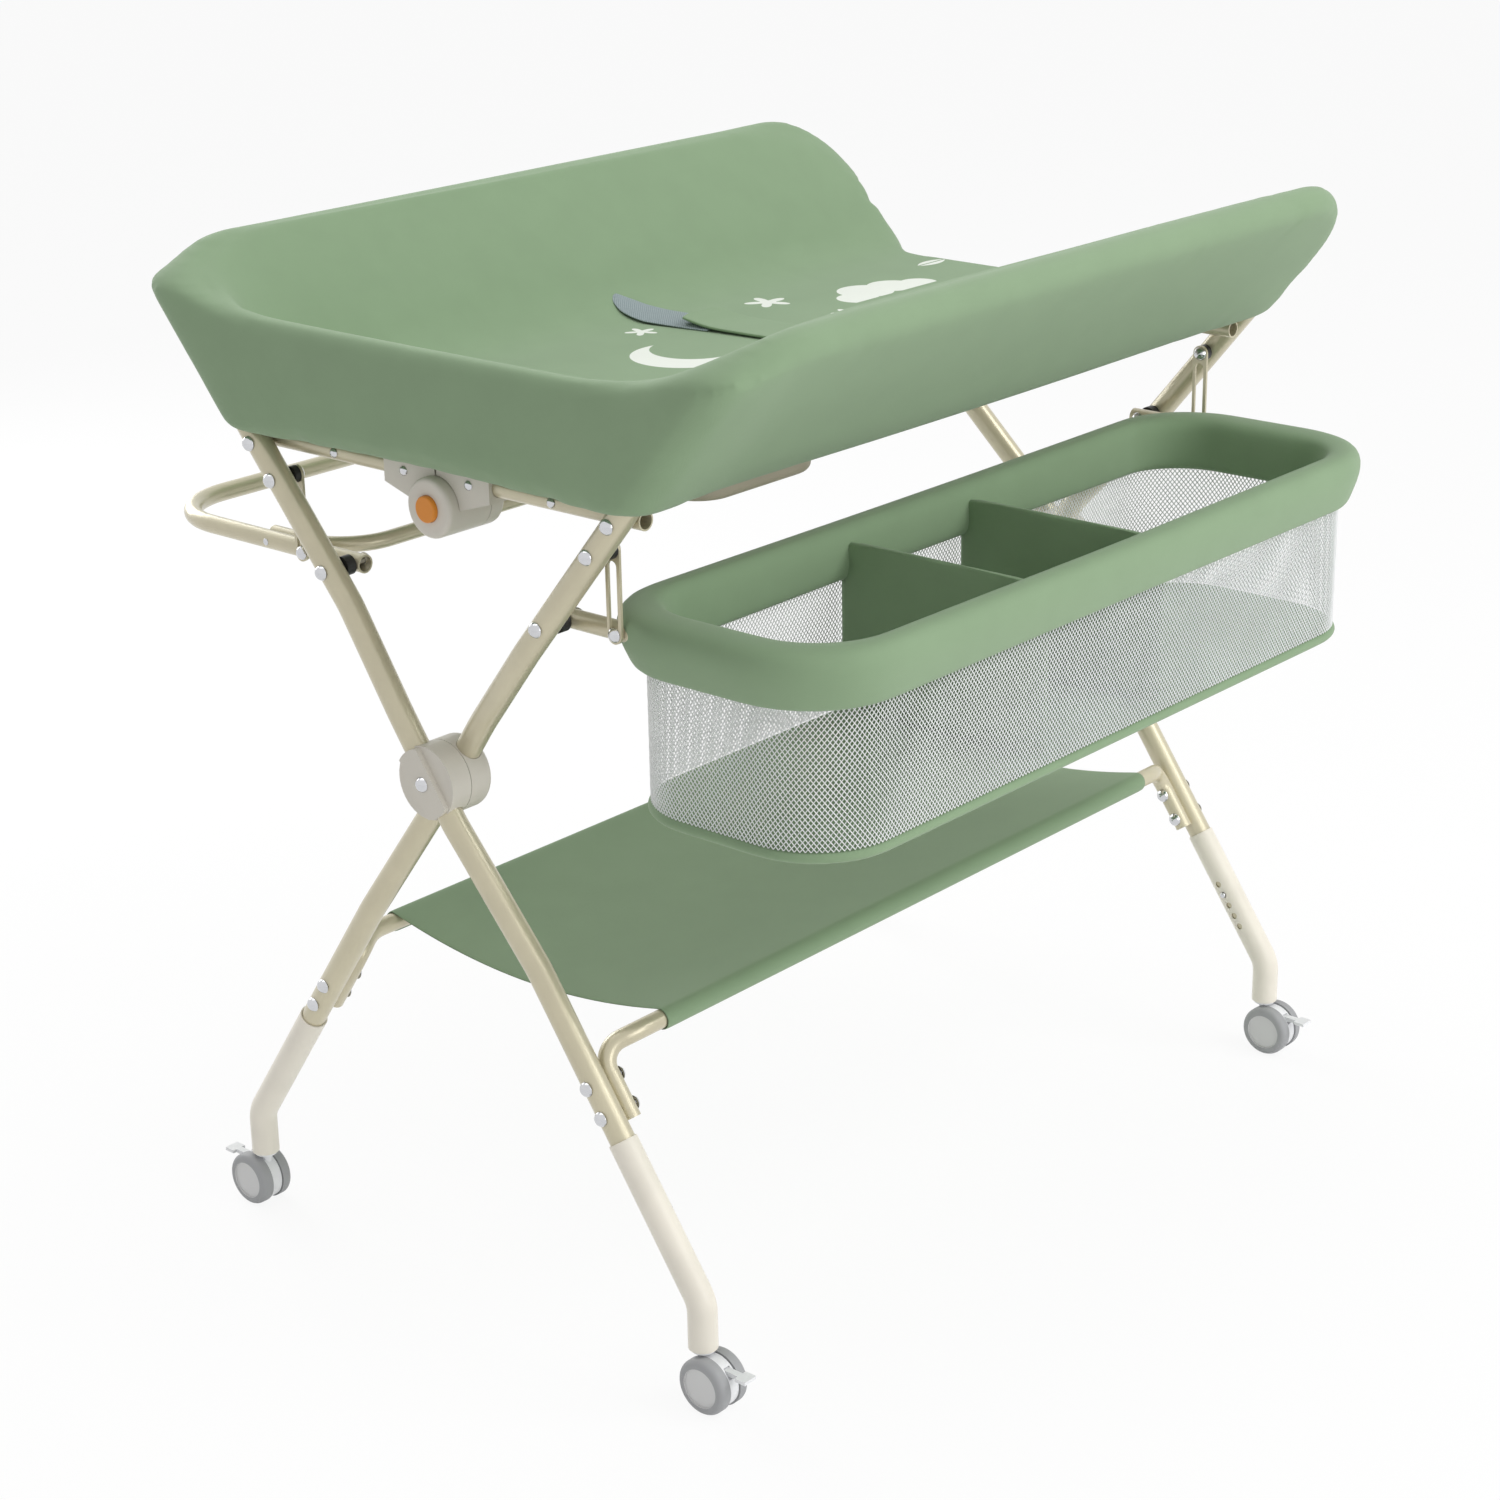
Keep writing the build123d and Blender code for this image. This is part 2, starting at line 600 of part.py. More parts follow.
# Hinged rings: outer loop and cross tube, pins, slotted links and spacers, on both sides of the table
for name, side in sides:
    ring_pivot_y = upper_y(ring_rivet_z)
    ring_outer_y = back_ring_outer_y if side > 0 else front_ring_outer_y
    ring_points = [
        (-ring_x, side * (ring_pivot_y - ring_end), ring_rivet_z),
        (-ring_x, side * ring_outer_y, ring_rivet_z),
        (ring_x, side * ring_outer_y, ring_rivet_z),
        (ring_x, side * (ring_pivot_y - ring_end), ring_rivet_z),
    ]
    cross_points = [
        (-cross_x, side * cross_end_y, ring_rivet_z),
        (-cross_x, side * cross_y, ring_rivet_z),
        (cross_x, side * cross_y, ring_rivet_z),
        (cross_x, side * cross_end_y, ring_rivet_z),
    ]
    with BuildPart() as ring_tubes:
        pipe(ring_points, [ring_corner_r, ring_corner_r], ring_r, ring_r - tube_wall)
        pipe(cross_points, [cross_corner_r, cross_corner_r], cross_r, cross_r - tube_wall)
        for x in (-ring_x, ring_x):
            bar(x - ring_r - overrun, x + ring_r + overrun, side * ring_pivot_y, ring_rivet_z,
                shank_r + fit_gap, Mode.SUBTRACT)
            bar(x - ring_r - overrun, x + ring_r + overrun, side * pin_y, ring_rivet_z,
                pin_r + fit_gap, Mode.SUBTRACT)
            bar(x - ring_r - overrun, x + ring_r + overrun, side * cross_rivet_y, ring_rivet_z,
                screw_r + fit_gap, Mode.SUBTRACT)
        for x in (-cross_x, cross_x):
            bar(x - cross_r - overrun, x + cross_r + overrun, side * cross_rivet_y, ring_rivet_z,
                screw_r + fit_gap, Mode.SUBTRACT)
    save(ring_tubes, name + "_ring_tubes")

    with BuildPart() as ring_pins:
        rivet(-link_x - link_thick / 2 - fit_gap, -ring_x + ring_r, side * pin_y, ring_rivet_z,
              pin_r, pin_head_r, pin_head_h, inner_head=False)
        rivet(-ring_x - ring_r - fit_gap / 2, -cross_x + cross_r + fit_gap / 2, side * cross_rivet_y, ring_rivet_z,
              screw_r, screw_head_r / 2 + screw_r / 2, screw_head_h / 2)
        mirror(about=Plane.YZ)
    save(ring_pins, name + "_ring_pins")

    with BuildPart() as links:
        top_y = side * upper_y(link_rivet_z)
        bottom_z = ring_rivet_z
        with BuildSketch(Plane(origin=(-link_x - link_thick / 2, 0, 0), x_dir=(0, 1, 0), z_dir=(1, 0, 0))):
            with Locations((top_y, (link_rivet_z + bottom_z) / 2)):
                SlotCenterToCenter(link_rivet_z - bottom_z, 2 * link_half_w, rotation=90)
            with Locations((side * pin_y, (link_rivet_z - slot_top_gap + bottom_z) / 2)):
                SlotCenterToCenter(link_rivet_z - slot_top_gap - bottom_z, 2 * slot_half_w, rotation=90,
                                   mode=Mode.SUBTRACT)
            with Locations((top_y, link_rivet_z)):
                Circle(shank_r + fit_gap, mode=Mode.SUBTRACT)
        extrude(amount=link_thick)
        mirror(about=Plane.YZ)
    save(links, name + "_ring_links")

    with BuildPart() as spacers:
        bar(-leg_inner_x + fit_gap, -ring_x - ring_r - fit_gap, side * ring_pivot_y, ring_rivet_z, spacer_r)
        bar(-leg_inner_x + fit_gap, -link_x - link_thick / 2 - fit_gap, side * upper_y(link_rivet_z),
            link_rivet_z, link_half_w)
        bar(-leg_inner_x - overrun, -ring_x, side * ring_pivot_y, ring_rivet_z, shank_r + fit_gap, Mode.SUBTRACT)
        bar(-leg_inner_x - overrun, -ring_x, side * upper_y(link_rivet_z), link_rivet_z, shank_r + fit_gap,
            Mode.SUBTRACT)
        mirror(about=Plane.YZ)
    save(spacers, name + "_ring_spacers")

# Basket on the front ring: padded rim round the ring's tubes, net wall, stiff base and two dividers
with BuildPart() as basket_rim:
    with BuildSketch(Plane.XY.offset(rim_top_z)):
        outline(rim_half_x, -rim_back_y, -rim_front_y, rim_back_corner_r, rim_front_corner_r)
    extrude(amount=-(rim_top_z - rim_bottom_z), taper=rim_flare)
    with BuildSketch(Plane.XY.offset(rim_top_z)):
        outline(rim_inner_half_x, -rim_inner_back_y, -rim_inner_front_y, rim_inner_corner_r, rim_inner_corner_r)
    extrude(amount=-(rim_top_z - rim_bottom_z), mode=Mode.SUBTRACT)
    fillet(basket_rim.faces().sort_by(Axis.Z)[-1].edges(), rim_round)
    front_ring = [(x, -abs(y), z) for x, y, z in ring_points]
    front_ring[0] = (-ring_x, -rim_back_y + overrun, ring_rivet_z)
    front_ring[-1] = (ring_x, -rim_back_y + overrun, ring_rivet_z)
    pipe(front_ring, [ring_corner_r, ring_corner_r], ring_r + fit_gap, mode=Mode.SUBTRACT)
    front_cross = [(x, -abs(y), z) for x, y, z in cross_points]
    front_cross[0] = (-cross_x, -cross_end_y - fit_gap, ring_rivet_z)
    front_cross[-1] = (cross_x, -cross_end_y - fit_gap, ring_rivet_z)
    pipe(front_cross, [cross_corner_r, cross_corner_r], cross_r + fit_gap, mode=Mode.SUBTRACT)
    rivet_reach = ring_x + ring_r + screw_head_h
    bar(-rivet_reach, rivet_reach, -cross_rivet_y, ring_rivet_z, screw_head_r, Mode.SUBTRACT)
    for x in (-rim_half_x, rim_half_x):
        with BuildSketch(Plane.XY.offset(rim_bottom_z)):
            with Locations((x, -pin_y)):
                Rectangle(2 * (rim_half_x - ring_x - ring_r - fit_gap), 2 * link_notch)
        extrude(amount=rim_top_z - rim_bottom_z, mode=Mode.SUBTRACT)
save(basket_rim, "basket_rim")

net_top_z = rim_bottom_z - fit_gap
with BuildPart() as basket_net:
    with BuildSketch(Plane.XY.offset(base_top_z + fit_gap)):
        outline(net_half_x, -net_back_y, -net_front_y, net_corner_r, net_corner_r)
        with Locations((0, 0)):
            offset(amount=-net_thick, mode=Mode.SUBTRACT)
    extrude(amount=net_top_z - base_top_z - fit_gap)
save(basket_net, "basket_net")

with BuildPart() as basket_base:
    with BuildSketch(Plane.XY.offset(base_top_z - base_thick)):
        outline(net_half_x + base_lip, -net_back_y + base_lip, -net_front_y - base_lip,
                net_corner_r + base_lip, net_corner_r + base_lip)
    extrude(amount=base_thick)
    fillet(basket_base.edges().filter_by(Plane.XY), base_round)
save(basket_base, "basket_base")

with BuildPart() as basket_dividers:
    low_back = -net_back_y - net_thick - fit_gap
    low_front = -net_front_y + net_thick + fit_gap
    high_back = -rim_inner_back_y - fit_gap
    high_front = -rim_inner_front_y + fit_gap
    for x in divider_places:
        with BuildSketch(Plane(origin=(x - divider_thick / 2, 0, 0), x_dir=(0, 1, 0), z_dir=(1, 0, 0))):
            with BuildLine():
                Polyline(
                    (low_back, base_top_z + fit_gap),
                    (low_back, rim_bottom_z - rim_round),
                    (high_back, rim_bottom_z),
                    (high_back, divider_top_z),
                    (high_front, divider_top_z),
                    (high_front, rim_bottom_z),
                    (low_front, rim_bottom_z - rim_round),
                    (low_front, base_top_z + fit_gap),
                    close=True,
                )
            make_face()
        extrude(amount=divider_thick)
save(basket_dividers, "basket_dividers")

# Low shelf: a bent rail on each pair of lower legs, and the sling between them
for name, side in sides:
    end_y, end_z = lower(shelf_end_s)
    turn_y, turn_z = lower(shelf_turn_s)
    head_end = [
        (-shelf_x, side * end_y, end_z),
        (-shelf_x, side * turn_y, turn_z),
        (-shelf_turn_x, side * shelf_y, shelf_z),
    ]
    with BuildPart() as shelf_rail:
        pipe(head_end + [(-x, y, z) for x, y, z in reversed(head_end)],
             [shelf_turn_r, shelf_ease_r, shelf_ease_r, shelf_turn_r], shelf_r, shelf_r - tube_wall)
        for x in (-shelf_x, shelf_x):
            for s in (shelf_rivet_low_s, shelf_rivet_high_s):
                bar(x - shelf_r - overrun, x + shelf_r + overrun, side * lower(s)[0], lower(s)[1],
                    shank_r + fit_gap, Mode.SUBTRACT)
    save(shelf_rail, name + "_shelf_rail")

with BuildPart() as shelf_sling:
    loop_r = shelf_r + fit_gap + sling_thick
    with BuildSketch(Plane(origin=(-sling_half_x, 0, 0), x_dir=(0, 1, 0), z_dir=(1, 0, 0))):
        with BuildLine():
            ThreePointArc((-shelf_y, shelf_z + loop_r), (0, shelf_z + loop_r - sling_sag), (shelf_y, shelf_z + loop_r))
            Line((shelf_y, shelf_z + loop_r), (shelf_y, shelf_z + loop_r - sling_thick))
            ThreePointArc((shelf_y, shelf_z + loop_r - sling_thick),
                          (0, shelf_z + loop_r - sling_sag - sling_thick),
                          (-shelf_y, shelf_z + loop_r - sling_thick))
            Line((-shelf_y, shelf_z + loop_r - sling_thick), (-shelf_y, shelf_z + loop_r))
        make_face()
        with Locations((-shelf_y, shelf_z), (shelf_y, shelf_z)):
            Circle(loop_r)
        with Locations((-shelf_y, shelf_z), (shelf_y, shelf_z)):
            Circle(shelf_r + fit_gap, mode=Mode.SUBTRACT)
    extrude(amount=2 * sling_half_x)
save(shelf_sling, "shelf_sling")

# Adjustable feet and castors, one set under each leg
for end_name, end in ends:
    for name, side in sides:
        foot_name = end_name + "_" + name
        x = end * leg_plane
        top_y, top_z = lower(sleeve_top_s)
        bore_y, bore_z = lower(sleeve_bore_s)
        inward = -end
        with BuildPart() as sleeve:
            pipe([(x, side * top_y, top_z), (x, side * foot_y, foot_bend_z), (x, side * foot_y, foot_z)],
                 [sleeve_bend_r], sleeve_dia / 2)
            with BuildSketch(Plane(origin=(x, side * top_y, top_z),
                                   z_dir=(0, side * (bore_y - top_y), bore_z - top_z))):
                Circle(leg_r + fit_gap)
            extrude(amount=sleeve_bore_s - sleeve_top_s, mode=Mode.SUBTRACT)
            with BuildSketch(Plane(origin=(x, side * foot_y, foot_z))):
                Circle(stem_r + fit_gap)
            extrude(amount=stem_length + fit_gap, mode=Mode.SUBTRACT)
            for number in range(hole_count):
                hole_y, hole_z = lower(hole_first_s + number * hole_pitch)
                with BuildSketch(Plane(origin=(x, side * hole_y, hole_z), z_dir=(inward, 0, 0))):
                    Circle(hole_r)
                extrude(amount=sleeve_dia, mode=Mode.SUBTRACT)
        save(sleeve, foot_name + "_leg_sleeve")

        snap_y, snap_z = lower(button_s)
        flange_out = sqrt((leg_r - tube_wall) ** 2 - snap_flange_r ** 2) - fit_gap
        flange_x = x + inward * flange_out
        tip = sleeve_dia / 2 + snap_proud - flange_out
        with BuildPart() as snap_button:
            with BuildSketch(Plane(origin=(flange_x, side * snap_y, snap_z), z_dir=(-inward, 0, 0))):
                Circle(snap_flange_r)
            extrude(amount=snap_flange)
            with BuildSketch(Plane(origin=(flange_x, side * snap_y, snap_z), z_dir=(inward, 0, 0))):
                Circle(snap_r)
            extrude(amount=tip)
            fillet(snap_button.faces().sort_by(Axis.X)[0 if inward < 0 else -1].edges(), snap_r / 2)
            up_leg = (0, side * (top_y - bore_y), top_z - bore_z)
            across = Vector(inward, 0, 0).cross(Vector(*up_leg))
            leaf_near = flange_out - snap_flange
            leaf_far = fit_gap - sqrt((leg_r - tube_wall) ** 2 - leaf_width ** 2 / 4)
            with BuildSketch(Plane(origin=(x, side * snap_y, snap_z), x_dir=(inward, 0, 0), z_dir=across)):
                with BuildLine():
                    Polyline(
                        (leaf_near + leaf_thick, -snap_r),
                        (leaf_far + leaf_thick, leaf_length),
                        (leaf_far, leaf_length),
                        (leaf_near, -snap_r),
                        close=True,
                    )
                make_face()
            extrude(amount=leaf_width / 2, both=True)
        save(snap_button, foot_name + "_snap_button")

        axle_y = side * wheel_y
        half_gap = wheel_gap / 2
        pin_y_place = axle_y + side * brake_pin_reach * cos(radians(brake_pin_angle))
        pin_z_place = wheel_r + brake_pin_reach * sin(radians(brake_pin_angle))
        with BuildPart() as castor:
            with BuildSketch(Plane(origin=(x, side * foot_y, foot_z - fit_gap - boss_height))):
                Circle(boss_r)
            extrude(amount=boss_height)
            with BuildSketch(Plane(origin=(x, side * foot_y, wheel_r))):
                Circle(stem_r)
            extrude(amount=foot_z + stem_length - wheel_r)
            bar(x - web_thick / 2, x + web_thick / 2, axle_y, wheel_r, web_r)
            with BuildSketch(Plane(origin=(x, 0, 0), x_dir=(0, 1, 0), z_dir=(1, 0, 0))):
                with BuildLine():
                    Polyline(
                        (pin_y_place - side * brake_slot, pin_z_place - brake_slot),
                        (pin_y_place - side * brake_slot, pin_z_place + brake_slot),
                        (pin_y_place + side * web_r, pin_z_place + brake_slot),
                        (pin_y_place + side * web_r, pin_z_place - brake_slot),
                        close=True,
                    )
                make_face()
            extrude(amount=brake_half_w + fit_gap, both=True, mode=Mode.SUBTRACT)
            bar(x - web_thick / 2, x + web_thick / 2, pin_y_place, pin_z_place, brake_pin_r)
            bar(x - half_gap, x + half_gap, axle_y, wheel_r, axle_r + fit_gap, Mode.SUBTRACT)
        save(castor, foot_name + "_castor_fork")

        with BuildPart() as wheels:
            with BuildSketch(Plane(origin=(x, axle_y, wheel_r), x_dir=(1, 0, 0), z_dir=(0, 0, 1))):
                with BuildLine():
                    Polyline(
                        (-half_gap - wheel_width + wheel_disc_depth, 0),
                        (-half_gap - wheel_width + wheel_disc_depth, wheel_disc_r),
                        (-half_gap - wheel_width, wheel_disc_r),
                        (-half_gap - wheel_width, wheel_r),
                        (-half_gap, wheel_r),
                        (-half_gap, axle_r),
                        (half_gap, axle_r),
                        (half_gap, wheel_r),
                        (half_gap + wheel_width, wheel_r),
                        (half_gap + wheel_width, wheel_disc_r),
                        (half_gap + wheel_width - wheel_disc_depth, wheel_disc_r),
                        (half_gap + wheel_width - wheel_disc_depth, 0),
                        close=True,
                    )
                make_face()
            revolve(axis=Axis((x, axle_y, wheel_r), (1, 0, 0)))
            rims = wheels.edges().filter_by(GeomType.CIRCLE).filter_by(lambda edge: edge.radius > wheel_r - fit_gap)
            outer_rims = [rims.sort_by(Axis.X)[0], rims.sort_by(Axis.X)[-1]]
            fillet(outer_rims, wheel_round)
        save(wheels, foot_name + "_castor_wheels")

        with BuildPart() as brake_lever:
            bar(x - brake_half_w, x + brake_half_w, pin_y_place, pin_z_place, brake_ear_r)
            with BuildSketch(Plane(origin=(x, pin_y_place, pin_z_place), x_dir=(0, 1, 0), z_dir=(1, 0, 0))):
                with BuildLine():
                    Polyline(
                        (0, brake_ear_r),
                        (side * brake_length, brake_thick),
                        (side * brake_length, 0),
                        (0, -brake_ear_r / 2),
                        close=True,
                    )
                make_face()
            extrude(amount=brake_half_w, both=True)
            with BuildSketch(Plane(origin=(x, pin_y_place, pin_z_place), x_dir=(0, 1, 0), z_dir=(1, 0, 0))):
                with BuildLine():
                    Polyline(
                        (side * brake_wing_start, brake_thick),
                        (side * brake_length, brake_thick),
                        (side * brake_length, 0),
                        (side * brake_wing_start, 0),
                        close=True,
                    )
                make_face()
            extrude(amount=brake_wing_half_w, both=True)
            bar(x - brake_half_w - overrun, x + brake_half_w + overrun, pin_y_place, pin_z_place,
                brake_pin_r + fit_gap, Mode.SUBTRACT)
        save(brake_lever, foot_name + "_brake_lever")
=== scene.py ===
# %% [markdown]
# This file dresses a folding changing table on castors. The hard parts, such as tubes, hubs and
# castors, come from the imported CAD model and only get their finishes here. The soft parts, such as
# the padded cover, the net basket and the low shelf, are modelled in this file as cloth.
# Everything is in metres, with X along the table, -Y the basket side and Z up.

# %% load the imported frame
import math

import bmesh
import bpy
import numpy as np
from mathutils import Matrix, Vector


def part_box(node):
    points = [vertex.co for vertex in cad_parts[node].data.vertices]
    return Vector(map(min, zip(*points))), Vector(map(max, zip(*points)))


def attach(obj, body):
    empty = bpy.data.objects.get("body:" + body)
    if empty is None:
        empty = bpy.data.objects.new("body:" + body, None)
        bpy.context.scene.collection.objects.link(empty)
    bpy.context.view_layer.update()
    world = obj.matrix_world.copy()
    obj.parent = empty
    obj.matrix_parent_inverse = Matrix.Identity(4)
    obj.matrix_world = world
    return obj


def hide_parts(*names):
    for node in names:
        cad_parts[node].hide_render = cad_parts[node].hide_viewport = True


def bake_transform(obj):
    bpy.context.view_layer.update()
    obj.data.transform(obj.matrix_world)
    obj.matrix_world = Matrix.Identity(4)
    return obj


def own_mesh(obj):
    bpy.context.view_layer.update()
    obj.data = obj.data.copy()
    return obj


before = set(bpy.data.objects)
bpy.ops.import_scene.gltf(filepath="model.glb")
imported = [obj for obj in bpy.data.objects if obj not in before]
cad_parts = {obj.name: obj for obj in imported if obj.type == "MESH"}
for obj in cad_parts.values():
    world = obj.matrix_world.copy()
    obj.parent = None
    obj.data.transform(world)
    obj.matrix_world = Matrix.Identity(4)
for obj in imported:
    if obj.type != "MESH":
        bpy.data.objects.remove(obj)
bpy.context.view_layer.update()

scene = bpy.context.scene

# %% [markdown]
# Shader and geometry trees are both graphs of small nodes, and long formulas are hard to read as
# graphs. A Wire stands for the value on one output socket. Adding or multiplying wires in Python
# adds the Math nodes, so a formula in the code reads like a formula on paper.


# %% wires for node maths
class Wire:
    """The value on one socket of a node tree."""

    def __init__(self, tree, socket):
        self.tree = tree
        self.socket = socket

    def do(self, operation, *others):
        values = dict(enumerate((self,) + others))
        return self.tree.node("ShaderNodeMath", {"operation": operation}, values)

    def __add__(self, other):
        return self.do("ADD", other)

    def __sub__(self, other):
        return self.do("SUBTRACT", other)

    def __mul__(self, other):
        return self.do("MULTIPLY", other)

    def __rsub__(self, other):
        return (self * -1) + other

    def __neg__(self):
        return self * -1

    __radd__ = __add__

    def high(self, other):
        return self.do("MAXIMUM", other)

    def low(self, other):
        return self.do("MINIMUM", other)

    def size(self):
        return self.do("ABSOLUTE")

    def hypot(self, other):
        return (self * self + other * other).do("SQRT")

    def step(self, start, end):
        """0 before start, 1 after end, and a smooth rise between them."""
        settings = {"interpolation_type": "SMOOTHSTEP"}
        values = {"Value": self, "From Min": start, "From Max": end}
        return self.tree.node("ShaderNodeMapRange", settings, values)


class Tree:
    """A node tree to which nodes are added by type, settings and socket values."""

    def __init__(self, nodes):
        self.nodes = nodes

    def node(self, kind, settings=None, values=None, output=0):
        made = self.nodes.nodes.new(kind)
        for name, value in (settings or {}).items():
            if name == "stops":
                self.set_stops(made.color_ramp, value)
            else:
                setattr(made, name, value)
        for name, value in (values or {}).items():
            if isinstance(value, Wire):
                self.nodes.links.new(value.socket, made.inputs[name])
            else:
                made.inputs[name].default_value = value
        return Wire(self, made.outputs[output])

    def set_stops(self, ramp, stops):
        while len(ramp.elements) < len(stops):
            ramp.elements.new(1.0)
        for element, (place, colour) in zip(ramp.elements, stops):
            element.position = place
            element.color = colour

    def split(self, vector):
        parts = self.node("ShaderNodeSeparateXYZ", None, {0: vector})
        return [Wire(self, socket) for socket in parts.socket.node.outputs]


# %% [markdown]
# A pale sage fabric, cream plastic and champagne paint all start from a colour as it looks on a
# screen. Blender's sockets want linear light, so one helper converts from screen values.


# %% colours and a plain material
def screen(red, green, blue):
    """A colour given as it looks on a screen, from 0 to 255, in linear light."""
    shares = [value / 255 for value in (red, green, blue)]
    linear = [s / 12.92 if s <= 0.04045 else ((s + 0.055) / 1.055) ** 2.4 for s in shares]
    return (*linear, 1.0)


def new_material(name):
    """A material with an empty tree: the Tree, and its Principled shader."""
    material = bpy.data.materials.new(name)
    material.use_nodes = True
    tree = Tree(material.node_tree)
    shader = material.node_tree.nodes["Principled BSDF"]
    return material, tree, shader


def mixed(tree, share, first, second):
    """The colour first where share is 0 and second where it is 1."""
    values = {0: share, 6: first, 7: second}
    return tree.node("ShaderNodeMix", {"data_type": "RGBA"}, values, output=2)


def plug(tree, shader, **inputs):
    """Sets sockets of a shader by name, with _ for a space, from numbers or wires."""
    for name, value in inputs.items():
        socket = shader.inputs[name.replace("_", " ")]
        if isinstance(value, Wire):
            tree.nodes.links.new(value.socket, socket)
        else:
            socket.default_value = value


def place(tree):
    """Object coordinates: metres in the frame of the whole table."""
    return tree.node("ShaderNodeTexCoord", None, None, output=3)


def speckle(tree, scale, detail=3.0, roughness=0.5):
    """Soft noise from 0 to 1 with about scale blobs in a metre."""
    values = {"Vector": place(tree), "Scale": scale, "Detail": detail, "Roughness": roughness}
    return tree.node("ShaderNodeTexNoise", None, values)


def bumped(tree, height):
    """Shading directions of a surface with this height, in metres."""
    values = {"Height": height, "Distance": 1.0, "Strength": 1.0}
    return tree.node("ShaderNodeBump", None, values)


# %% [markdown]
# The cover, basket and shelf are one green woven polyester. Up close it is a plain weave, from a
# step away it is even and matt with a faint sheen, and its long soft ripples come from the sewing.
# Two crossing waves make the weave, and two sizes of noise make uneven dye and ripples.

# %% green fabric
fabric_green = (136, 160, 127)
print_white = (236, 240, 232)
weave_pitch = 0.0011
thread_height = 0.00006
ripple_height = 0.0004
fine_share = 0.14


def weave_height(tree, pitch):
    """Height of a plain weave: threads that run in two directions and take turns on top."""
    x, y, z = tree.split(place(tree))
    turn = 2 * math.pi / pitch
    across = (x * turn).do("SINE")
    along = ((y + z) * turn).do("SINE")
    return across * along * 0.5 + 0.5


def fabric(name, colour, print_mask=None, ripple=ripple_height, roughness=0.86):
    """Woven polyester. print_mask is a function that gives where a white print lies."""
    material, tree, shader = new_material(name)
    base = screen(*colour)
    pale = screen(*[min(255, value * 1.012) for value in colour])
    deep = screen(*[value * 0.99 for value in colour])
    dye = speckle(tree, 26.0).step(0.2, 0.8)
    thread = weave_height(tree, weave_pitch)
    shade = mixed(tree, dye, deep, pale)
    shade = mixed(tree, thread * 0.25, shade, base)
    if print_mask:
        shade = mixed(tree, print_mask(tree), shade, screen(*print_white))
    slow = speckle(tree, 9.0, 2.0)
    fine = speckle(tree, 55.0, 2.0)
    creases = slow * ripple + fine * (ripple * fine_share)
    normal = bumped(tree, creases + thread * thread_height)
    plug(tree, shader, Base_Color=shade, Roughness=roughness, Sheen_Weight=0.18,
         Sheen_Roughness=0.5, Specular_IOR_Level=0.25, Normal=normal)
    return material


green = fabric("green_fabric", fabric_green)
print("made", green.name)

# %% [markdown]
# The floor of the bay has a small white print. A print is ink, not a thing of its own, so it is a
# mask in the fabric's colour. Each motif is a distance formula: clouds are circles that melt
# together, a moon is a disc without a second disc, a star is a disc whose edge swings in and out,
# and a leaf is where two discs overlap.

# %% printed motifs
ink_edge = 0.0006
outline_half = 0.0013
big_cloud = (0.255, 0.08, 0.050)
moon = (-0.065, 0.05, 0.050)
stars = [(0.145, 0.135, 0.023), (0.155, 0.045, 0.017), (0.35, 0.0, 0.020), (-0.02, 0.145, 0.016),
         (-0.22, 0.085, 0.019), (-0.30, -0.02, 0.022)]
leaves = [(0.385, 0.125, 0.034), (-0.205, -0.10, 0.038)]
outlined_clouds = [(-0.165, -0.025, 0.046), (0.18, -0.09, 0.046)]


def disc(x, y, across, along, radius):
    return (x - across).hypot(y - along) - radius


def cloud_print(x, y, across, along, size):
    puffs = [(-0.9, -0.05, 0.42), (-0.32, 0.24, 0.56), (0.38, 0.14, 0.5), (0.92, -0.08, 0.38)]
    shape = None
    for px, py, radius in puffs:
        puff = disc(x, y, across + px * size, along + py * size, radius * size)
        shape = puff if shape is None else shape.low(puff)
    return shape.high((along - 0.3 * size) - y)


def moon_print(x, y, across, along, size):
    bite = disc(x, y, across + 0.45 * size, along + 0.2 * size, 0.8 * size)
    return disc(x, y, across, along, size).high(-bite)


def star_print(x, y, across, along, size):
    turn = (y - along).do("ARCTAN2", x - across)
    return (x - across).hypot(y - along) - ((turn * 5).do("COSINE") * 0.32 + 0.68) * size


def leaf_print(x, y, across, along, size):
    far_disc = disc(x, y, across, along + 0.75 * size, size)
    near_disc = disc(x, y, across, along - 0.75 * size, size)
    vein = (y - along).size() - outline_half * 0.6
    return far_disc.high(near_disc).high(-vein)


def bay_print(tree):
    """1 where the white print lies on the floor of the bay."""
    x, y, z = tree.split(place(tree))
    solid = cloud_print(x, y, *big_cloud).low(moon_print(x, y, *moon))
    for star in stars:
        solid = solid.low(star_print(x, y, *star))
    for leaf in leaves:
        solid = solid.low(leaf_print(x, y, *leaf))
    first, second = [cloud_print(x, y, *cloud).size() for cloud in outlined_clouds]
    ink = -solid.low(first.low(second) - outline_half)
    return ink.step(0.0, ink_edge)


printed_green = fabric("printed_green_fabric", fabric_green, bay_print)

# %% [markdown]
# The frame is steel tube with a champagne coat. Paint of this kind is smooth with a fine orange
# peel, slightly metallic and half glossy. Rivets are bare domed steel, polished.


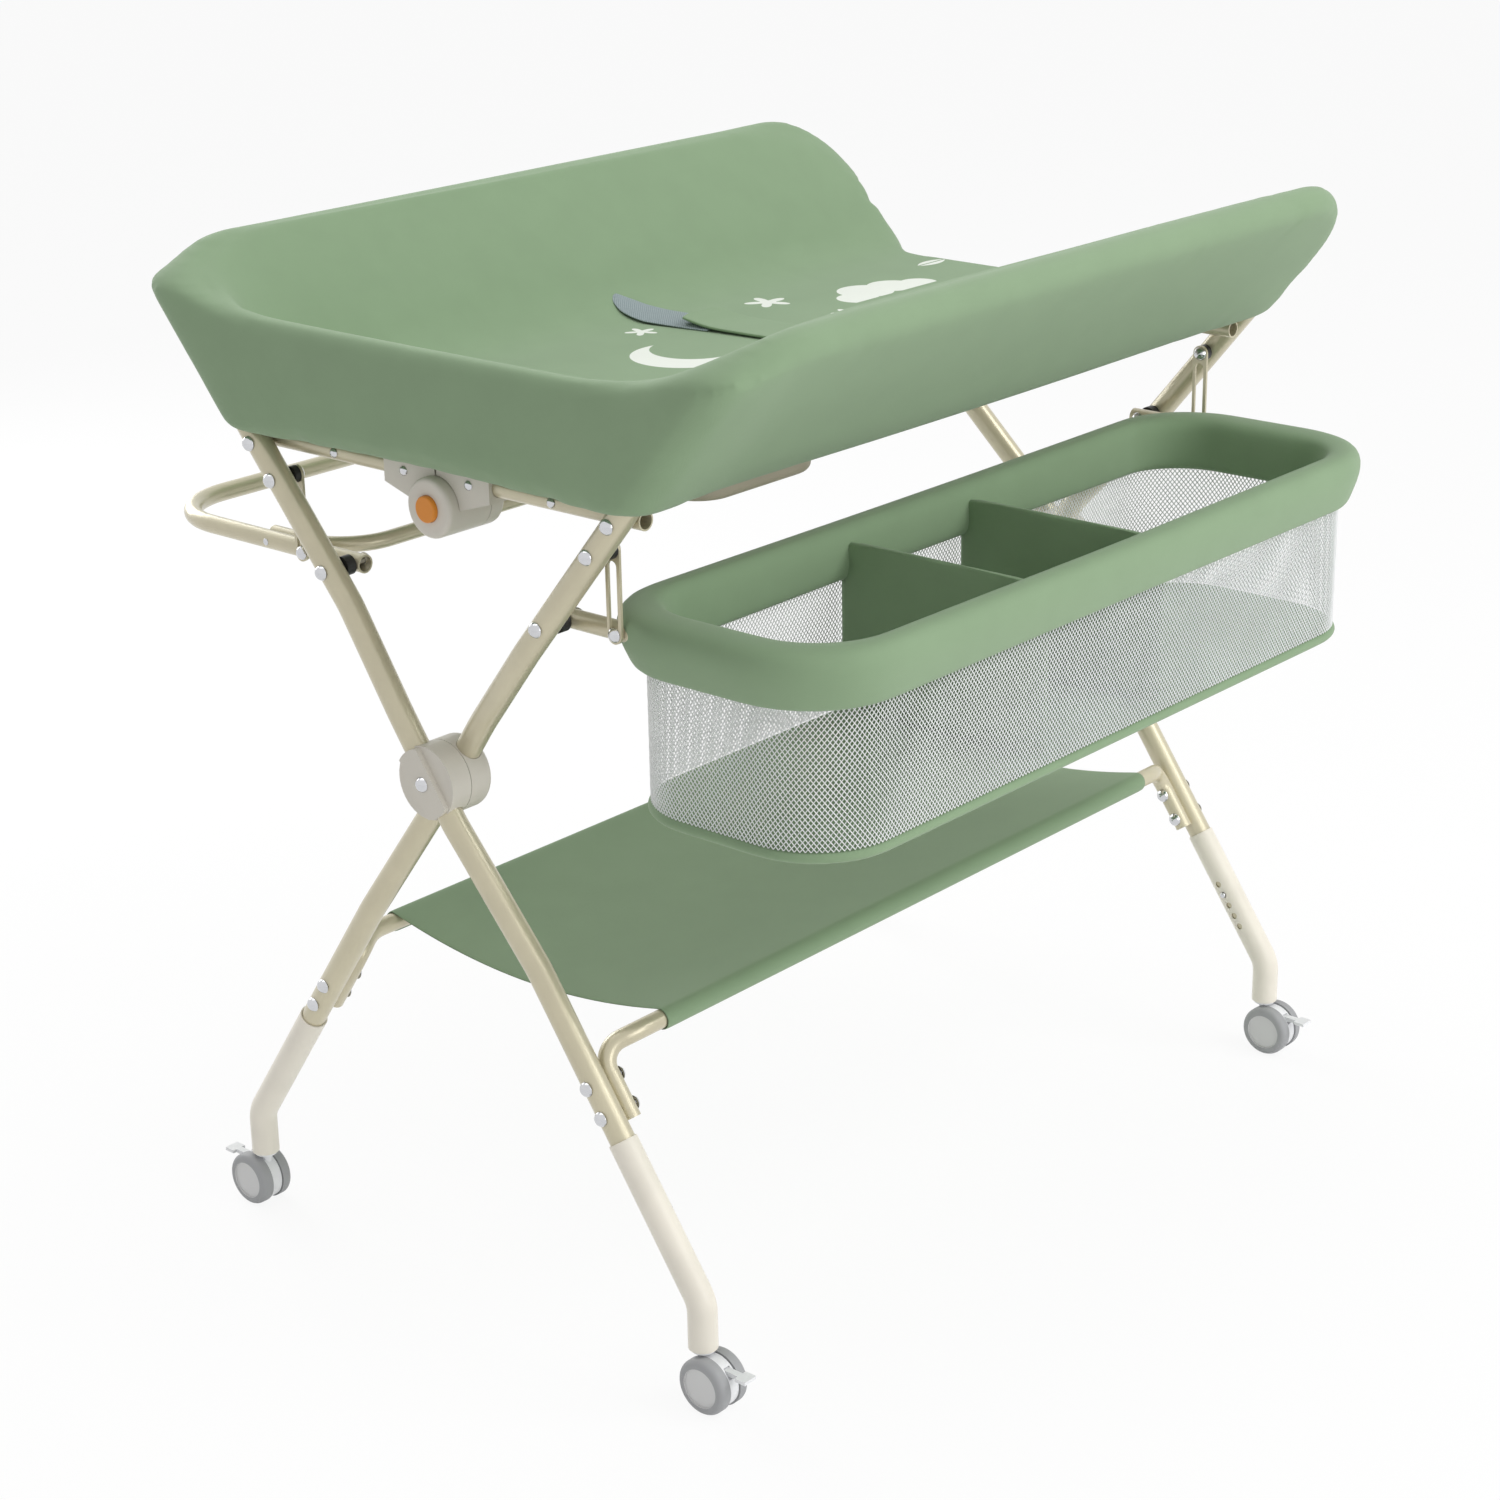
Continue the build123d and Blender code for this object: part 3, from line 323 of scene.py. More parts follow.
# %% hard finishes
def paint(name, colour, metallic=0.35, roughness=0.34, coat=0.3, peel=0.00002):
    """Satin paint on tube, with a faint orange peel and slightly uneven gloss."""
    material, tree, shader = new_material(name)
    blush = speckle(tree, 30.0).step(0.25, 0.75)
    tone = mixed(tree, blush, screen(*[value * 0.97 for value in colour]), screen(*colour))
    gloss = speckle(tree, 140.0) * 0.08 + (roughness - 0.04)
    normal = bumped(tree, speckle(tree, 900.0, 1.0) * peel)
    plug(tree, shader, Base_Color=tone, Metallic=metallic, Roughness=gloss, Coat_Weight=coat,
         Coat_Roughness=0.12, Normal=normal)
    return material


def plastic(name, colour, roughness=0.42, grain=0.00003):
    """Moulded plastic with a fine spark-eroded grain."""
    material, tree, shader = new_material(name)
    cloud = speckle(tree, 18.0).step(0.3, 0.7)
    tone = mixed(tree, cloud, screen(*[value * 0.975 for value in colour]), screen(*colour))
    gloss = speckle(tree, 400.0, 2.0) * 0.1 + (roughness - 0.05)
    normal = bumped(tree, speckle(tree, 1600.0, 1.0) * grain)
    plug(tree, shader, Base_Color=tone, Roughness=gloss, Specular_IOR_Level=0.45, Normal=normal)
    return material


def chrome(name):
    """Polished steel with faint turning marks."""
    material, tree, shader = new_material(name)
    haze = speckle(tree, 700.0, 2.0) * 0.1 + 0.12
    tone = mixed(tree, speckle(tree, 90.0), screen(196, 197, 200), screen(214, 215, 218))
    plug(tree, shader, Base_Color=tone, Metallic=1.0, Roughness=haze)
    return material


wheel_y = 0.28
wheel_z = 0.0245
disc_radius = 0.0172
disc_edge = 0.0003


def wheel_finish(name):
    """Grey tyre with a lighter disc inside the rim of the wheel."""
    material, tree, shader = new_material(name)
    x, y, z = tree.split(place(tree))
    reach = (y.size() - wheel_y).hypot(z - wheel_z)
    tyre = reach.step(disc_radius - disc_edge, disc_radius + disc_edge)
    dust = speckle(tree, 120.0) * 0.06
    tone = mixed(tree, tyre, screen(214, 214, 214), screen(163, 164, 166))
    normal = bumped(tree, speckle(tree, 900.0, 1.0) * 0.00003)
    plug(tree, shader, Base_Color=tone, Roughness=tyre * 0.2 + dust + 0.36, Normal=normal)
    return material


champagne = paint("champagne_paint", (206, 198, 171))
cream = plastic("cream_sleeve", (238, 232, 219), roughness=0.36)
hub_grey = plastic("warm_grey_plastic", (214, 209, 198), roughness=0.4)
orange = plastic("orange_button", (222, 138, 40), roughness=0.38)
castor_white = plastic("white_castor", (240, 241, 243), roughness=0.33)
black = plastic("black_spacer", (38, 38, 38), roughness=0.45)
beige = plastic("beige_tray", (186, 177, 158), roughness=0.5)
board = plastic("board_plastic", (198, 194, 184), roughness=0.55)
steel = chrome("polished_steel")
tyre_grey = wheel_finish("castor_wheel")

# %% [markdown]
# The CAD parts whose shape is already right only change their finish. Every node's slots get the
# material of its group.

# %% dress the hard parts
finish_of = {
    "arch_tube": champagne, "strut_tubes": champagne, "ring_tubes": champagne,
    "shelf_rail": champagne, "ring_links": champagne, "frame_rivets": steel,
    "strut_screws": steel, "ring_pins": steel, "hub_half": hub_grey, "strut_hubs": hub_grey,
    "release_button": orange, "ring_spacers": black, "under_tray": beige, "floor_board": board,
    "leg_sleeve": cream, "snap_button": steel, "castor_fork": castor_white,
    "castor_wheels": tyre_grey, "brake_lever": castor_white,
}
dressed = 0
for name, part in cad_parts.items():
    for ending, material in finish_of.items():
        if name.endswith(ending):
            part.data.materials.clear()
            part.data.materials.append(material)
            dressed += 1
print("dressed", dressed, "hard parts")

# %% [markdown]
# Meshes made in code all go through the same few helpers: one turns points and faces into an
# object, one lofts a skin through a stack of closed loops, and one draws a rounded rectangle with
# the same number of points whatever its size, so that loops of different sizes can be joined.


# %% mesh helpers
def linked(name, data):
    """A new object with this data, put in the scene."""
    made = bpy.data.objects.new(name, data)
    scene.collection.objects.link(made)
    return made


def new_piece(name, points, faces, material):
    """A smooth-shaded mesh object with its place in its points."""
    mesh = bpy.data.meshes.new(name)
    mesh.from_pydata([tuple(point) for point in points], [], faces)
    mesh.materials.append(material)
    mesh.polygons.foreach_set("use_smooth", [True] * len(mesh.polygons))
    mesh.update()
    return linked(name, mesh)


def face_outwards(piece):
    """Points a closed mesh's faces outwards, after its doubles are merged."""
    shell = bmesh.new()
    shell.from_mesh(piece.data)
    bmesh.ops.remove_doubles(shell, verts=shell.verts, dist=0.00002)
    bmesh.ops.recalc_face_normals(shell, faces=shell.faces)
    shell.to_mesh(piece.data)
    shell.free()
    return piece


def loft(name, loops, material, closed=False, ends=True):
    """A skin through closed loops of equal count. closed joins the last loop to the first."""
    count = len(loops[0])
    points = [point for loop in loops for point in loop]
    rows = len(loops) if closed else len(loops) - 1
    faces = []
    for row in range(rows):
        here = row * count
        there = ((row + 1) % len(loops)) * count
        for step in range(count):
            after = (step + 1) % count
            faces.append((here + step, here + after, there + after, there + step))
    if ends and not closed:
        faces.append(tuple(reversed(range(count))))
        faces.append(tuple(range(len(points) - count, len(points))))
    return face_outwards(new_piece(name, points, faces, material))


def between(last, first, steps):
    """The points that split the line from last to first into steps, without its ends."""
    shares = [step / steps for step in range(1, steps)]
    return [tuple(a + (b - a) * share for a, b in zip(last, first)) for share in shares]


def rounded_loop(half_x, near, far, near_r, far_r, z, arc_steps=10, long_steps=30, short_steps=8):
    """Rounded rectangle at height z, with edges at near and far along Y, each with its radius."""
    corners = [
        (half_x - near_r, near + near_r, near_r, -90, long_steps),
        (half_x - far_r, far - far_r, far_r, 0, short_steps),
        (-half_x + far_r, far - far_r, far_r, 90, long_steps),
        (-half_x + near_r, near + near_r, near_r, 180, short_steps),
    ]
    loop = []
    for across, along, radius, start, straight in corners:
        turns = [math.radians(start + 90 * step / arc_steps) for step in range(arc_steps + 1)]
        arc = [(across + radius * math.cos(a), along + radius * math.sin(a)) for a in turns]
        if loop:
            loop += between(loop[-1], arc[0], straight)
        loop += arc
    loop += between(loop[-1], loop[0], long_steps)
    return [(across, along, z) for across, along in loop]


def applied(piece):
    """Turns the piece's modifiers into plain mesh."""
    depsgraph = bpy.context.evaluated_depsgraph_get()
    mesh = bpy.data.meshes.new_from_object(piece.evaluated_get(depsgraph))
    piece.modifiers.clear()
    piece.data = mesh
    return piece


def smoothed(piece):
    """Subdivides the piece once and keeps the result."""
    modifier = piece.modifiers.new("subdivision", "SUBSURF")
    modifier.levels = 1
    modifier.render_levels = 1
    return applied(piece)


# %% [markdown]
# Geometry Nodes trees are also made in code. Each has its sizes as named inputs, and its result is
# turned into plain mesh at once, so nothing live is left for the rest of the script.


# %% geometry trees
def geometry_tree(name, sizes, takes_geometry=False):
    """An empty tree with named number inputs: the Tree and a wire for each input."""
    nodes = bpy.data.node_groups.new(name, "GeometryNodeTree")
    nodes.interface.new_socket("Geometry", in_out="OUTPUT", socket_type="NodeSocketGeometry")
    if takes_geometry:
        nodes.interface.new_socket("Geometry", in_out="INPUT", socket_type="NodeSocketGeometry")
    for label, value in sizes.items():
        kind = "NodeSocketInt" if isinstance(value, int) else "NodeSocketFloat"
        socket = nodes.interface.new_socket(label, in_out="INPUT", socket_type=kind)
        socket.default_value = value
    tree = Tree(nodes)
    group_input = nodes.nodes.new("NodeGroupInput")
    wires = {socket.name: Wire(tree, socket) for socket in group_input.outputs if socket.name}
    return tree, wires


def finish_tree(tree, geometry, material):
    """Ends a tree in Realize Instances and Set Material."""
    real = tree.node("GeometryNodeRealizeInstances", None, {"Geometry": geometry})
    coated = tree.node("GeometryNodeSetMaterial", None, {"Geometry": real, "Material": material})
    output = tree.nodes.nodes.new("NodeGroupOutput")
    tree.nodes.links.new(coated.socket, output.inputs[0])


def grown(name, tree, sizes, material, start=None):
    """Runs a tree, on start where it takes geometry, and returns its result as a plain piece."""
    seed = start or linked(name + "_seed", bpy.data.meshes.new(name + "_seed"))
    modifier = seed.modifiers.new("grow", "NODES")
    modifier.node_group = tree.nodes
    for socket in tree.nodes.interface.items_tree:
        if socket.in_out == "INPUT" and socket.name in sizes:
            modifier[socket.identifier] = sizes[socket.name]
    depsgraph = bpy.context.evaluated_depsgraph_get()
    mesh = bpy.data.meshes.new_from_object(seed.evaluated_get(depsgraph))
    mesh.name = name
    if not mesh.materials:
        mesh.materials.append(material)
    piece = linked(name, mesh)
    bpy.data.objects.remove(seed)
    return piece


# %% [markdown]
# The padded cover is one sewn piece: two side walls that lean out round the top rails, a low wall
# across the head end, and a floor, with soft coves where they meet. A shape like that is hard to
# join from flat pieces, and easy to write as a distance: how far is a point from the surface? Walls
# and floor are each a distance, and a smooth minimum melts them together. A Volume Cube samples the
# distance on a grid, and Volume to Mesh draws the skin where it is nought.

# %% sizes of the padded cover
rail_y = 0.3164
rail_z = 0.871
bend_y = 0.102
bend_z = 0.612
lean = math.atan2(rail_z - bend_z, rail_y - bend_y)
pad_low, pad_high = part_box("back_changing_pad")
wall_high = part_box("head_end_wall")[1]
cover_sizes = {
    "Wall Head": -0.442, "Wall Foot": 0.444, "Wall Over": 0.020, "Wall Under": -0.182,
    "Wall Thick": 0.031, "Wall Edge": 0.0145, "Head Corner": 0.100, "Foot Corner": 0.100,
    "End Outer": -0.442, "End Inner": -0.418, "End Top": wall_high[2], "End Edge": 0.0115,
    "Floor Top": pad_high[2] - 0.0006, "Floor Under": pad_low[2] + 0.0004, "Floor Foot": 0.424,
    "Bottom": 0.7475, "Wall Cove": 0.042, "End Cove": 0.10, "Voxel": 0.0055,
}
lower_corner = 0.03
back_corner_less = 0.012
floor_edge = 0.004
outside_over = 0.002
outside_edge = 0.026
outside_melt = 0.008
hollow_y = 0.192
hollow_x = -0.41
strut_x = 0.4064
strut_half_x = 0.0105
strut_y = 0.2175
strut_top = 0.7455
block_low = (-0.475, -0.385, 0.730)
block_high = (0.475, 0.385, 0.925)
density_rise = 60


# %% the cover as a distance
def rounded_edge(first, second, radius):
    """Two faces that meet in an edge of that radius, as one distance."""
    a = first + radius
    b = second + radius
    return a.high(0).hypot(b.high(0)) + a.high(b).low(0) - radius


def cover_distance(tree, size):
    """Distance from the skin of the cover: negative inside."""
    x, y, z = tree.split(tree.node("GeometryNodeInputPosition"))
    side = y.size()
    up = (side - rail_y) * math.cos(lean) + (z - rail_z) * math.sin(lean)
    inward = (z - rail_z) * math.cos(lean) - (side - rail_y) * math.sin(lean)
    middle_up = (size["Wall Over"] + size["Wall Under"]) * 0.5
    middle_x = (size["Wall Head"] + size["Wall Foot"]) * 0.5
    foot_corner = size["Foot Corner"] - y.do("GREATER_THAN", 0) * back_corner_less
    at_foot = x.do("GREATER_THAN", 0)
    top_corner = size["Head Corner"] + at_foot * (foot_corner - size["Head Corner"])
    corner = lower_corner + up.do("GREATER_THAN", middle_up) * (top_corner - lower_corner)
    reach_x = (size["Wall Foot"] - size["Wall Head"]) * 0.5
    reach_up = (size["Wall Over"] - size["Wall Under"]) * 0.5
    past_x = (x - middle_x).size() - reach_x
    past_up = (up - middle_up).size() - reach_up
    outline = rounded_edge(past_x, past_up, corner)
    wall = rounded_edge(outline, inward.size() - size["Wall Thick"] * 0.5, size["Wall Edge"])
    end_x = (x - (size["End Outer"] + size["End Inner"]) * 0.5).size()
    end_x = end_x - (size["End Inner"] - size["End Outer"]) * 0.5
    end = rounded_edge(end_x, z - size["End Top"], size["End Edge"]).high(-inward)
    floor_z = (z - (size["Floor Top"] + size["Floor Under"]) * 0.5).size()
    floor_z = floor_z - (size["Floor Top"] - size["Floor Under"]) * 0.5
    floor = rounded_edge(floor_z, x - size["Floor Foot"], floor_edge)
    floor = floor.high(-inward).high(size["End Outer"] - x)
    skin = wall.do("SMOOTH_MIN", end, size["End Cove"]).do("SMOOTH_MIN", floor, size["Wall Cove"])
    outer_face = -inward - size["Wall Thick"] * 0.5 - outside_over
    outside = rounded_edge(outer_face, size["Wall Head"] - x - outside_over, outside_edge)
    skin = skin.do("SMOOTH_MAX", outside.high(size["Bottom"] - z), outside_melt)
    below = (side - hollow_y).high(hollow_x - x).high(z - size["Floor Under"])
    strut = (x.size() - strut_x).size() - strut_half_x
    strut = strut.high(side - strut_y).high(z - strut_top)
    return skin.high(-below).high(-strut)


def cover_tree():
    tree, size = geometry_tree("padded_cover", cover_sizes)
    density = 1 - cover_distance(tree, size) * density_rise
    values = {"Density": density, "Min": block_low, "Max": block_high}
    for axis, label in enumerate(("Resolution X", "Resolution Y", "Resolution Z")):
        values[label] = round((block_high[axis] - block_low[axis]) / cover_sizes["Voxel"])
    block = tree.node("GeometryNodeVolumeCube", None, values)
    values = {"Volume": block, "Threshold": 1.0, "Adaptivity": 0.0}
    skin = tree.node("GeometryNodeVolumeToMesh", None, values)
    finish_tree(tree, skin, green)
    return tree


cover = grown("padded_cover", cover_tree(), cover_sizes, green)
print("cover", len(cover.data.vertices), "points", len(cover.data.polygons), "faces")

# %% [markdown]
# A sewn cover over foam is never as even as a formula. A short cloth simulation fixes that: the
# skin is blown up a little and made about two percent too large, so that it ripples as real fabric
# does over padding. No point may move more than 3 mm, so the cover keeps its size, and below the
# bay its points stay above the boards.


# %% ripples from a cloth simulation
def vectors(items, label):
    """One vector of every item, such as a mesh's vertices, as rows of an array."""
    values = np.empty(len(items) * 3)
    items.foreach_get(label, values)
    return values.reshape(-1, 3)


def puffed(piece, pressure, spare, cap, stiffness=6.0, frames=20):
    """Lets the piece's fabric swell and ripple, with no point moving further than cap."""
    start = vectors(piece.data.vertices, "co")
    cloth = piece.modifiers.new("cloth", "CLOTH")
    settings = cloth.settings
    settings.quality = 4
    settings.mass = 0.2
    settings.tension_stiffness = stiffness
    settings.compression_stiffness = stiffness
    settings.shear_stiffness = stiffness * 0.5
    settings.bending_stiffness = 0.4
    settings.shrink_min = -spare
    settings.use_pressure = True
    settings.uniform_pressure_force = pressure
    settings.effector_weights.gravity = 0.0
    cloth.point_cache.frame_start = 1
    cloth.point_cache.frame_end = frames
    for frame_number in range(1, frames + 1):
        scene.frame_set(frame_number)
    applied(piece)
    scene.frame_set(1)
    moved = vectors(piece.data.vertices, "co") - start
    length = np.linalg.norm(moved, axis=1, keepdims=True)
    kept = start + moved * np.minimum(1.0, cap / np.maximum(length, 1e-9))
    piece.data.vertices.foreach_set("co", kept.ravel())
    piece.data.update()
    print(piece.name, "moved", round(float(length.mean()) * 1000, 2), "mm on average")
    return piece


def relaxed(piece, share, rounds):
    """Evens out a mesh by moving each point towards its neighbours."""
    modifier = piece.modifiers.new("relax", "SMOOTH")
    modifier.factor = share
    modifier.iterations = rounds
    return applied(piece)


relaxed(cover, 0.5, 3)
puffed(cover, pressure=3.0, spare=0.02, cap=0.003)
relaxed(cover, 0.4, 2)
bay_half_y = 0.185
bay_head_x = -0.40
bay_under_z = 0.7545
floor_rest = pad_low[2] + 0.0002
cover_points = vectors(cover.data.vertices, "co")
under_bay = (np.abs(cover_points[:, 1]) < bay_half_y) & (cover_points[:, 2] < bay_under_z)
under_bay &= cover_points[:, 0] > bay_head_x
cover_points[under_bay, 2] = np.maximum(cover_points[under_bay, 2], floor_rest)
cover.data.vertices.foreach_set("co", cover_points.ravel())
cover.data.update()
smoothed(cover)

# %% [markdown]
# The table folds, so one cover has to follow four bodies. It is cut by flat planes where the real
# fabric bends. The side walls, their head ends, the narrow side coves and the head coves, which go
# on between the floor and the head wall, are parented to the arches; the floor and the head wall are
# cut but stay where they are. Cutting a smooth mesh shows as a line in the shading, so every cut
# piece keeps the shading directions of the whole cover.

# %% cut the cover into pieces that move
cut_floor_y = 0.134
cut_wall_y = 0.213
cut_head_x = -0.4185
cut_cove_x = -0.345
cut_head_inward = 0.019
belt_x = 0.045
strap_start = 0.225
strap_spacing = 0.005
strap_count = 75
over_cover = 0.80


def keep_shading(piece):
    """Stores the whole mesh's shading directions on its points."""
    normals = vectors(piece.data.vertices, "normal")
    store = piece.data.attributes.new("whole_normal", "FLOAT_VECTOR", "POINT")
    store.data.foreach_set("vector", normals.ravel())


def cut_piece(name, source, planes, material):
    """A copy of source that keeps what lies behind every plane, given as (point, direction)."""
    shell = bmesh.new()
    shell.from_mesh(source.data)
    for point, direction in planes:
        everything = list(shell.verts) + list(shell.edges) + list(shell.faces)
        bmesh.ops.bisect_plane(shell, geom=everything, dist=1e-6, plane_co=point,
                               plane_no=direction, clear_outer=True)
        rim = [edge for edge in shell.edges if edge.is_boundary]
        bmesh.ops.holes_fill(shell, edges=rim)
    mesh = bpy.data.meshes.new(name)
    shell.to_mesh(mesh)
    shell.free()
    mesh.materials.clear()
    mesh.materials.append(material)
    piece = linked(name, mesh)
    mesh.polygons.foreach_set("use_smooth", [True] * len(mesh.polygons))
    directions = vectors(mesh.attributes["whole_normal"].data, "vector")
    directions /= np.maximum(np.linalg.norm(directions, axis=1, keepdims=True), 1e-9)
    mesh.normals_split_custom_set_from_vertices([tuple(direction) for direction in directions])
    mesh.attributes.remove(mesh.attributes["whole_normal"])
    print(name, len(mesh.polygons), "faces")
    return piece


keep_shading(cover)
head_plane = ((cut_head_x, 0, 0), (1, 0, 0))
body_plane = ((cut_head_x, 0, 0), (-1, 0, 0))
slope = {}
slope_point = {}
for side in (1, -1):
    slope[side] = (0, -side * math.sin(lean), math.cos(lean))
    slope_point[side] = (0, side * rail_y + slope[side][1] * cut_head_inward,
                         rail_z + slope[side][2] * cut_head_inward)
cove_plane = ((cut_cove_x, 0, 0), (-1, 0, 0))
floor_cover = cut_piece("floor_cover", cover, [
    cove_plane, ((0, cut_floor_y, 0), (0, 1, 0)), ((0, -cut_floor_y, 0), (0, -1, 0))
], printed_green)
walls = {}
coves = {}
for name, side in (("back", 1), ("front", -1)):
    middle = ((0, 0, 0), (0, -side, 0))
    inner = ((0, side * cut_wall_y, 0), (0, -side, 0))
    body_wall = cut_piece(name + "_wall_cover", cover, [body_plane, inner], green)
    behind = (slope_point[side], slope[side])
    end_wall = cut_piece(name + "_wall_end", cover, [head_plane, behind, middle], green)
    walls[name] = (body_wall, end_wall)
    outer = ((0, side * cut_wall_y, 0), (0, side, 0))
    side_cove = cut_piece(name + "_cove", cover, [
        cove_plane, outer, ((0, side * cut_floor_y, 0), (0, -side, 0))
    ], printed_green)
    head_cove = cut_piece(name + "_head_cove", cover, [
        body_plane, ((cut_cove_x, 0, 0), (1, 0, 0)), outer, middle
    ], printed_green)
    coves[name] = (side_cove, head_cove)
head_cover = cut_piece("head_wall_cover", cover, [head_plane] + [
    (slope_point[side], tuple(-value for value in slope[side])) for side in (1, -1)
], green)
strap_stations = [strap_start - strap_spacing * step for step in range(strap_count)]
strap_hits = [cover.ray_cast((belt_x, y, over_cover), (0, 0, -1)) for y in strap_stations]
strap_heights = [hit[1].z for hit in strap_hits]
bpy.data.objects.remove(cover)

# %% let the cover move
fold_y = 0.190
for name, side in (("back", 1), ("front", -1)):
    arch = name + "_arch"
    for part in walls[name]:
        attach(part, arch)
        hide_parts(name + "_side_pad")
    for part in coves[name]:
        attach(part, arch)
        side * fold_y
        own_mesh(part)
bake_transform(head_cover)
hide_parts("head_end_wall")
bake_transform(floor_cover)
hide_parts("back_changing_pad", "front_changing_pad")

# %% [markdown]
# A waist belt lies across the floor of the bay. A grey mesh strap comes out of the crease at the
# back wall and runs down to the middle, where a green strap with a lifted tip lies over it. The
# green strap's root goes on over the front cove to the crease at the front wall, and folds with it.
# Flat webbing is too thin for a cloth simulation, so each strap is a ribbon swept along a line of
# points and given its thickness.

# %% straps of the waist belt
skew_y = 0.06
mesh_skew = 0.15
green_skew = 0.08
mesh_tip = 0.008
mesh_width = 0.050
mesh_thick = 0.0012
mesh_crown = 0.0022
hole_pitch = 0.0026
hole_depth = 0.0004
green_tip = 0.030
green_width = 0.054
green_thick = 0.0026
mesh_taper_steps = 26
green_taper_steps = 4
edge_share = 0.35


def ribbon(name, line, widths, thick, material, across_steps=10, crown=0.0):
    """A strap with its middle along line, given as (x, y, z), and its width along X."""
    points = []
    for (x, y, z), width in zip(line, widths):
        for step in range(across_steps + 1):
            share = 2 * step / across_steps - 1
            points.append((x + share * width / 2, y, z + crown * (1 - share * share)))
    row = across_steps + 1
    faces = []
    for i in range(len(line) - 1):
        for j in range(across_steps):
            a = i * row + j
            faces.append((a, a + 1, a + row + 1, a + row))
    piece = new_piece(name, points, faces, material)
    shell = piece.modifiers.new("thickness", "SOLIDIFY")
    shell.thickness = thick
    shell.offset = 0.0
    edge = piece.modifiers.new("rounded_edge", "BEVEL")
    edge.width = thick * edge_share
    edge.segments = 2
    edge.limit_method = "ANGLE"
    applied(piece)
    return face_outwards(smoothed(piece))


def curve_points(stops, count):
    """Points along a smooth curve through the stops."""
    stops = [Vector(stop) for stop in stops]
    padded = [2 * stops[0] - stops[1]] + stops + [2 * stops[-1] - stops[-2]]
    points = []
    spans = len(stops) - 1
    for step in range(count + 1):
        place_on = step / count * spans
        index = min(int(place_on), spans - 1)
        t = place_on - index
        a, b, c, d = padded[index:index + 4]
        points.append(0.5 * (2 * b + (c - a) * t + (2 * a - 5 * b + 4 * c - d) * t ** 2
                             + (3 * b - a - 3 * c + d) * t ** 3))
    return points


def strap_mesh(name):
    """Grey knitted strap: rows of small holes between threads."""
    material, tree, shader = new_material(name)
    x, y, z = tree.split(place(tree))
    turn = 2 * math.pi / hole_pitch
    hole = ((x * turn).do("SINE") * (y * turn).do("SINE")).step(-0.2, 0.5)
    tone = mixed(tree, hole, screen(136, 150, 154), screen(170, 182, 184))
    normal = bumped(tree, hole * hole_depth)
    plug(tree, shader, Base_Color=tone, Roughness=0.8, Normal=normal)
    return material


def cover_height(y):
    """Height of the cover under the middle of the strap."""
    return float(np.interp(y, strap_stations[::-1], strap_heights[::-1]))


def strap_line(stops, skew, count):
    """A smooth line over the cover, from stops given as (place along Y, gap to the cover)."""
    line = [(belt_x - (y - skew_y) * skew, y, cover_height(y) + gap) for y, gap in stops]
    return curve_points(line, count)


grey_mesh = strap_mesh("grey_strap_mesh")
mesh_stops = [(0.216, -0.0015), (0.207, 0.0008), (0.193, 0.0024), (0.17, 0.0026),
              (0.14, 0.0016), (0.112, 0.0010), (0.096, 0.0009)]
mesh_line = strap_line(mesh_stops, mesh_skew, 48)
mesh_shares = [min(1.0, step / mesh_taper_steps) ** 0.8 for step in range(len(mesh_line))]
mesh_widths = [mesh_tip + (mesh_width - mesh_tip) * share for share in mesh_shares]
grey_strap = ribbon("grey_mesh_strap", mesh_line, mesh_widths, mesh_thick, grey_mesh,
                    crown=mesh_crown)
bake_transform(grey_strap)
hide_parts("belt_mesh")

green_stops = [(0.128, 0.0105), (0.118, 0.0082), (0.098, 0.0046), (0.07, 0.0032),
               (0.0, 0.0026), (-0.08, 0.0026), (-0.131, 0.0026)]
green_line = strap_line(green_stops, green_skew, 60)
green_shares = [min(1.0, step / green_taper_steps) for step in range(len(green_line))]
green_widths = [green_tip + (green_width - green_tip) * share for share in green_shares]
green_strap = ribbon("green_belt_strap", green_line, green_widths, green_thick, green)
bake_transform(green_strap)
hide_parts("back_belt_pad", "front_belt_pad")

root_stops = [(-0.1312, 0.0026), (-0.150, 0.0026), (-0.170, 0.0024), (-0.188, 0.0016),
              (-0.202, -0.0020)]
root_line = strap_line(root_stops, green_skew, 24)
root_widths = [green_width] * len(root_line)
green_root = ribbon("green_strap_root", root_line, root_widths, green_thick, green)
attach(green_root, "front_arch")
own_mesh(green_root)

# %% [markdown]
# The basket's rim is a padded sleeve sewn round the front ring. Seen from the side it is a flat
# band about 50 mm high that leans out a little and rolls over at the top. It is a loft of loops
# round its section, and each loop lies between an inner and an outer rounded rectangle.

# %% padded rim of the basket
rim_low, rim_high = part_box("basket_rim")
rim_outer = {
    "half_x": rim_high[0], "near": rim_low[1], "far": rim_high[1], "near_r": 0.090, "far_r": 0.080,
}
rim_inner = {"half_x": 0.366, "near": -0.364, "far": -0.168, "near_r": 0.056, "far_r": 0.056}
rim_section = [
    (0.10, 0.0), (0.02, 0.004), (0.0, 0.012), (0.0, 0.032), (0.03, 0.043), (0.14, 0.0495),
    (0.32, 0.0515), (0.60, 0.0518), (0.84, 0.0495), (0.965, 0.043), (1.0, 0.034), (0.93, 0.022),
    (0.80, 0.010), (0.73, 0.003), (0.62, 0.0), (0.36, -0.0005),
]
link_face = 0.4043
link_far = -0.197
link_ease = -0.225


def rim_loop(share, z):
    """Loop of the rim that lies share of the way from its inner to its outer outline."""
    values = {key: rim_inner[key] + (rim_outer[key] - rim_inner[key]) * share for key in rim_outer}
    return rounded_loop(z=z, **values)


